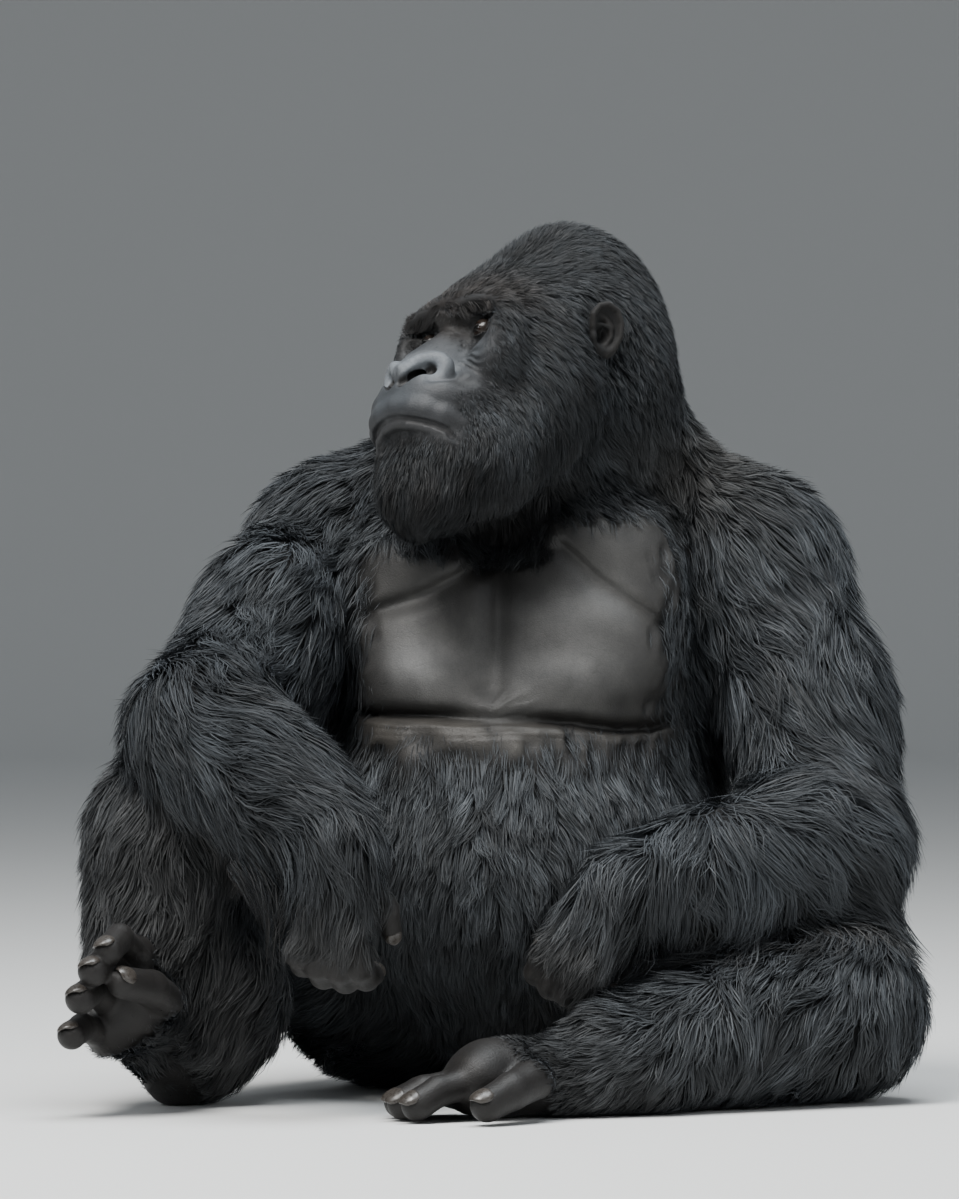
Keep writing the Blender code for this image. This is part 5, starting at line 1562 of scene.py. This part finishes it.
def coat_material():
    n = Nodes("gorilla_coat")
    tint = n.add("ShaderNodeAttribute", attribute_name="tint")
    where = n.add("ShaderNodeTexCoord").outputs["Object"]
    noise = n.add("ShaderNodeTexNoise", Scale=55.0, Detail=4.0, Roughness=0.6)
    n.link(where, noise.inputs["Vector"])
    fine = n.add("ShaderNodeTexNoise", Scale=650.0, Detail=2.0)
    n.link(where, fine.inputs["Vector"])
    col = n.blend("MULTIPLY", 1.0, tint.outputs["Color"], n.blend("MIX", noise.outputs["Fac"], (0.70, 0.71, 0.73, 1), (1.30, 1.29, 1.27, 1)))
    col = n.blend("MULTIPLY", 1.0, col, n.blend("MIX", fine.outputs["Fac"], (0.86, 0.86, 0.87, 1), (1.14, 1.14, 1.13, 1)))
    n.link(col, n.shader.inputs["Base Color"])
    n.link(n.ramp(noise.outputs["Fac"], 0.25, 0.75, 0.72, 0.58), n.shader.inputs["Roughness"])
    n.shader.inputs["Specular IOR Level"].default_value = 0.34
    n.shader.inputs["Sheen Weight"].default_value = 0.10
    n.shader.inputs["Sheen Roughness"].default_value = 0.35
    n.shader.inputs["Sheen Tint"].default_value = (0.75, 0.85, 1.0, 1.0)
    return n.mat


def ribbons(name, P, G, width, roll, colours, uv0, mat):
    """One mesh of thin tapered locks; P is (hairs, points, 3)."""
    n, k1 = P.shape[:2]
    K = k1 - 1
    s = np.linspace(0, 1, k1)
    t = np.gradient(P, axis=1)
    t /= np.maximum(np.linalg.norm(t, axis=2, keepdims=True), 1e-6)
    side = np.cross(t, G)
    side /= np.maximum(np.linalg.norm(side, axis=2, keepdims=True), 1e-6)
    up = np.cross(side, t)
    w = side * np.cos(roll)[:, None, None] + up * np.sin(roll)[:, None, None]
    shape = np.interp(s, (0, 0.3, 0.7, 1.0), (0.70, 1.0, 0.72, 0.0))
    half = w * (width[:, None] * shape[None] / 2)[:, :, None]
    V = np.empty((n, 2 * K + 1, 3), np.float32)
    V[:, 0:2 * K:2] = (P - half)[:, :K]
    V[:, 1:2 * K:2] = (P + half)[:, :K]
    V[:, 2 * K] = P[:, K]
    base = (np.arange(n) * (2 * K + 1))[:, None]
    quads = np.concatenate([(base + np.array([2 * k, 2 * k + 1, 2 * k + 3, 2 * k + 2]))[:, None] for k in range(K - 1)], 1).reshape(-1, 4)
    tris = (base + np.array([2 * K - 2, 2 * K - 1, 2 * K])).reshape(-1, 3)
    obj = mesh_object(name, V.reshape(-1, 3), quads, tris)
    C = np.empty((n, 2 * K + 1, 3), np.float32)
    C[:, 0:2 * K:2] = colours[:, :K]; C[:, 1:2 * K:2] = colours[:, :K]; C[:, 2 * K] = colours[:, K]
    colour_layer(obj.data, "tint", C.reshape(-1, 3))
    patch = np.empty((n, 2 * K + 1, 2), np.float32)
    patch[:, 0:2 * K:2, 0] = -0.0015; patch[:, 1:2 * K:2, 0] = 0.0015; patch[:, 2 * K, 0] = 0
    for k in range(K):
        patch[:, 2 * k, 1] = patch[:, 2 * k + 1, 1] = -0.0015 + 0.003 * k / K
    patch[:, 2 * K, 1] = 0.0015
    patch += uv0[:, None]
    layer = obj.data.uv_layers.new(name="OFBake")
    corner = np.empty(len(obj.data.loops), np.int32)
    obj.data.loops.foreach_get("vertex_index", corner)
    layer.data.foreach_set("uv", patch.reshape(-1, 2)[corner].ravel())
    obj.data.materials.append(mat)
    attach(obj, "root")
    return obj


def coat():
    rng = np.random.default_rng(7)
    grid6 = make_grid()
    gx, gy, gz = np.gradient(grid6[..., 0], GRID_H)
    grid = np.concatenate([grid6, np.stack([gx, gy, gz], -1)], -1)
    clock("grid")
    T, want, hair, Wt, bt = scatter(points, normals, quads, tris, weight_v, bare_v, grid, rng)
    short = hair[:, 0] < 0.030
    faces = float((want * np.where(short, 3, 5)).sum())
    scale = min(1.0, MOST_FACES / faces)
    clock(f"coat wants {want.sum():.0f} hairs, {faces:.0f} triangles, scaled by {scale:.2f}")
    want = want * scale
    number = np.floor(want + rng.random(len(want))).astype(int)
    tri = np.repeat(np.arange(len(T)), number)
    n = len(tri)
    a, b = rng.random(n), rng.random(n)
    flip = a + b > 1
    a[flip], b[flip] = 1 - a[flip], 1 - b[flip]
    w3 = np.stack([1 - a - b, a, b], 1)[:, :, None]
    root = (points[T[tri]] * w3).sum(1).astype(np.float32)
    nrm = (normals[T[tri]] * w3).sum(1).astype(np.float32)
    nrm /= np.maximum(np.linalg.norm(nrm, axis=1, keepdims=True), 1e-6)
    W = (weight_v[T[tri]] * w3).sum(1)
    bare = (bare_v[T[tri]] * w3[:, :, 0]).sum(1)
    depth = (depth_v[T[tri]] * w3[:, :, 0]).sum(1)
    H = hair[tri]
    rate = want[tri] / np.maximum(0.5 * np.linalg.norm(np.cross(points[T[tri, 1]] - points[T[tri, 0]], points[T[tri, 2]] - points[T[tri, 0]]), axis=1), 1e-9)
    length = H[:, 0] * rng.uniform(0.72, 1.22, n) * (1 - 0.60 * bare)
    width = H[:, 1] * rng.uniform(0.70, 1.25, n) * (1 - 0.35 * bare)
    reach = rng.uniform(0.45, 1.08, n)
    bend = rng.normal(0, 0.12, n)
    # long fringes hang from the undersides of the forearms, and a few hairs stand loose everywhere
    slack = np.zeros(n, np.float32)
    fringe = np.zeros(n, np.float32)
    for s in "LR":
        E, V = np.array(JOINTS["elbow_" + s]), np.array(JOINTS["wrist_" + s])
        t = np.clip(((root - f32(E)) @ f32(V - E)) / float((V - E) @ (V - E)), 0, 1)
        low = ramp(-(root[:, 2] - (E[2] + (V[2] - E[2]) * t)), 0.005, 0.060)
        fringe += low * np.clip(W[:, NAMES.index("forearm_" + s)] + 0.6 * W[:, NAMES.index("upper_arm_" + s)] * ramp(-(root[:, 2] - E[2]), -0.06, 0.04), 0, 1)
    fringe = np.clip(fringe, 0, 1)
    slack += 0.026 * fringe * rng.uniform(0.3, 1, n)
    loose = (rng.random(n) < 0.055) & (W[:, NAMES.index("head")] < 0.5)
    slack[loose] += 0.016; reach[loose] *= 1.35
    length *= 1 + 0.55 * fringe
    depth = np.maximum(depth, 0.0022)
    # hair of the face and brow is finer, and shorter still near the bare skin
    Q = head_frame(root)
    headed = W[:, NAMES.index("head")]
    near_face = np.exp(-(np.maximum(past_face(Q), 0) / 0.020) ** 2) * ramp(Q[:, 1], -0.09, -0.05) * headed
    brow = np.exp(-((Q[:, 2] - 0.055) / 0.030) ** 2) * ramp(Q[:, 1], -0.12, -0.04) * headed
    length *= (1 - 0.50 * near_face) * (1 - 0.40 * brow)
    width *= 1 - 0.25 * near_face
    beard = ramp(-Q[:, 2], 0.15, 0.21) * ramp(Q[:, 1], -0.10, 0.0) * headed
    length *= 1 + 0.35 * beard
    jowl = ramp(np.abs(Q[:, 0]), 0.075, 0.105) * ramp(-Q[:, 2], 0.010, 0.060) * ramp(Q[:, 1], -0.16, -0.10) * headed
    length *= 1 + 0.35 * jowl * (1 - near_face)
    nape = ramp(-Q[:, 1], 0.18, 0.27) * headed
    length *= 1 + 0.6 * nape
    length *= 1 - 0.30 * W[:, NAMES.index("neck")] * ramp(root[:, 0], 0.06, 0.12) * ramp(-trunk_frame(root)[:, 1], -0.06, 0.02)
    saddle = saddle_share(root) * W[:, NAMES.index("trunk")]
    length *= 1 - 0.40 * saddle
    width *= 1 - 0.25 * saddle
    K3 = length >= 0.024
    clock(f"{n} hairs")
    # clumps: some hairs lead, and those near each one draw in towards it
    spacing = 0.30 * H[:, 0] + 0.004 * (1 - 0.8 * headed)
    lead = rng.random(n) < np.clip(1 / (rate * spacing ** 2), 0, 1)
    lead_rows = np.flatnonzero(lead)
    own = piece_of(root, W)
    colour = coat_colour(root, W)
    mat = coat_material()
    bend_lead = rng.normal(0, 0.22, len(lead_rows))
    total = 0
    for K, rows_K in ((3, K3), (2, ~K3)):
        gP, _ = grow(grid, root[lead_rows], nrm[lead_rows], length[lead_rows] * 1.08, depth[lead_rows], np.full(len(lead_rows), 0.92), bend_lead, slack[lead_rows], K)
        tree = KDTree(len(lead_rows))
        for i, r in enumerate(root[lead_rows].tolist()):
            tree.insert(r, i)
        tree.balance()
        rows = np.flatnonzero(rows_K)
        P, G = grow(grid, root[rows], nrm[rows], length[rows], depth[rows], reach[rows], bend[rows], slack[rows], K)
        near_lead = np.array([tree.find(r)[1] for r in root[rows].tolist()])
        clock(f"grown {len(rows)} of {K}")
        gp = gP[near_lead]
        off = root[rows] - root[lead_rows][near_lead]
        s = np.linspace(0, 1, K + 1)[None, :, None]
        goal = gp + off[:, None] * (1 - 0.80 * s)
        a1, a2 = P[:, K] - P[:, 0], gp[:, K] - gp[:, 0]
        agree = ramp((a1 * a2).sum(1) / np.maximum(np.linalg.norm(a1, axis=1) * np.linalg.norm(a2, axis=1), 1e-8), 0.35, 0.8)
        pull = (rng.uniform(0.35, 0.92, len(rows)) * agree * (0.92 - 0.12 * headed[rows]) * (1 - 0.60 * saddle[rows]))[:, None, None] * s ** 1.1
        P = P + (goal - P) * pull
        P[:, 1:, 2] = np.maximum(P[:, 1:, 2], 0.0016)
        # loose tips
        P[:, K] += rng.normal(0, 0.035, (len(rows), 3)) * length[rows][:, None]
        P[:, K, 2] = np.maximum(P[:, K, 2], 0.0016)
        roll = rng.normal(0, 0.55, len(rows))
        bright = np.exp(rng.normal(0, 0.16, len(rows)) * (1 - 0.35 * headed[rows]))
        lead_tone = np.exp(np.random.default_rng(9).normal(0, 0.24, len(lead_rows)))[near_lead] ** (1 - 0.6 * saddle[rows] + 0.35 * headed[rows])
        # painted shade: each hair is darker at its root, deep in the coat, and lighter towards its tip
        along = np.interp(np.linspace(0, 1, K + 1), (0, 0.35, 1.0), (0.62, 0.96, 1.14))
        C = colour[rows][:, None] * (bright * lead_tone)[:, None, None] * along[None, :, None]
        for name, code in PIECES.items():
            pick = np.flatnonzero(own[rows] == code)
            if len(pick) < 30:
                continue
            yield name, K, rows[pick], P[pick], G[pick], width[rows[pick]], roll[pick], C[pick].astype(np.float32), root[rows[pick]], mat


made = {}
for name, K, rows, P, G, width, roll, C, root, mat in coat():
    made.setdefault(name, []).append((K, P, G, width, roll, C, root))
coat_mat = mat
best_part = weight_v.argmax(1)
vertex_piece = piece_of(points, weight_v)
faces_total = 0
for name, groups in made.items():
    mine = (vertex_piece[quads] == PIECES[name]).any(1)
    flat = unwrap(points, quads[mine], name + "_flat")
    for K, P, G, width, roll, C, root in groups:
        uv0 = root_uv(flat, root)
        label = name if K == 3 else name + "_short"
        if len(groups) == 1:
            label = name
        obj = ribbons(label, P, G, width, roll, C, uv0, coat_mat)
        count = len(P) * (2 * K - 1)
        faces_total += count
        print(f"    {label}: {len(P)} hairs, {count} triangles")
clock(f"coat done, {faces_total} triangles")


# ---------------------------------------------------------------- floor, camera and light
def stage_floor():
    """A pale floor that turns up into a pale wall far away on every side."""
    profile = [(0.0, 0.0), (3.0, 0.0), (8.0, 0.0), (16.0, 0.0)] + [(16.0 + 6.0 * math.sin(t), 6.0 - 6.0 * math.cos(t)) for t in np.linspace(0.15, math.pi / 2, 9)] + [(22.0, 12.0)]
    ring = 64
    points, quads, tris = [(0.0, 0.0, 0.0)], [], []
    for r, z in profile[1:]:
        points += [(r * math.cos(2 * math.pi * i / ring), r * math.sin(2 * math.pi * i / ring), z) for i in range(ring)]
    for i in range(ring):
        tris.append((0, 1 + i, 1 + (i + 1) % ring))
    for k in range(len(profile) - 2):
        a, b = 1 + k * ring, 1 + (k + 1) * ring
        for i in range(ring):
            j = (i + 1) % ring
            quads.append((a + i, b + i, b + j, a + j))
    mesh = bpy.data.meshes.new("floor")
    mesh.from_pydata(points, [], quads + tris)
    mesh.shade_smooth()
    obj = bpy.data.objects.new("floor", mesh)
    bpy.context.scene.collection.objects.link(obj)
    mat = bpy.data.materials.new("studio_floor")
    mat.use_nodes = True
    s = mat.node_tree.nodes["Principled BSDF"]
    s.inputs["Base Color"].default_value = (0.62, 0.62, 0.61, 1)
    s.inputs["Roughness"].default_value = 0.9
    s.inputs["Specular IOR Level"].default_value = 0.2
    mesh.materials.append(mat)
    return obj


def area_light(name, at_point, towards, size, power, colour):
    data = bpy.data.lights.new(name, "AREA")
    data.shape = "DISK"; data.size = size; data.energy = power; data.color = colour
    obj = bpy.data.objects.new(name, data)
    bpy.context.scene.collection.objects.link(obj)
    obj.location = at_point
    obj.rotation_mode = "QUATERNION"
    obj.rotation_quaternion = (Vector(towards) - Vector(at_point)).to_track_quat("-Z", "Y")
    return obj


stage_floor()
cam_data = bpy.data.cameras.new("camera")
cam_data.lens = 200.2
cam_data.sensor_width = 36.0
cam_data.sensor_fit = "AUTO"
cam_data.clip_start, cam_data.clip_end = 0.1, 100.0
cam = bpy.data.objects.new("camera", cam_data)
cam.location = (-0.0273, -7.366, 0.5506)
cam.rotation_euler = (math.radians(90), 0, 0)
bpy.context.scene.collection.objects.link(cam)
bpy.context.scene.camera = cam

world = bpy.data.worlds.new("studio")
world.use_nodes = True
world.node_tree.nodes["Background"].inputs["Color"].default_value = (0.86, 0.93, 1.0, 1)
world.node_tree.nodes["Background"].inputs["Strength"].default_value = 0.34
bpy.context.scene.world = world
area_light("key", (-1.7, -2.4, 4.9), (0.0, 0.0, 0.5), 2.6, 470, (1.0, 0.99, 0.97))
area_light("side", (-3.9, -3.4, 2.9), (0.0, 0.0, 0.6), 1.2, 60, (0.96, 0.98, 1.0))
area_light("top", (0.7, -0.3, 5.0), (0.0, 0.0, 0.5), 3.0, 290, (0.92, 0.97, 1.0))
area_light("fill", (4.2, -3.6, 2.2), (0.0, 0.0, 0.5), 3.0, 70, (0.95, 0.97, 1.0))
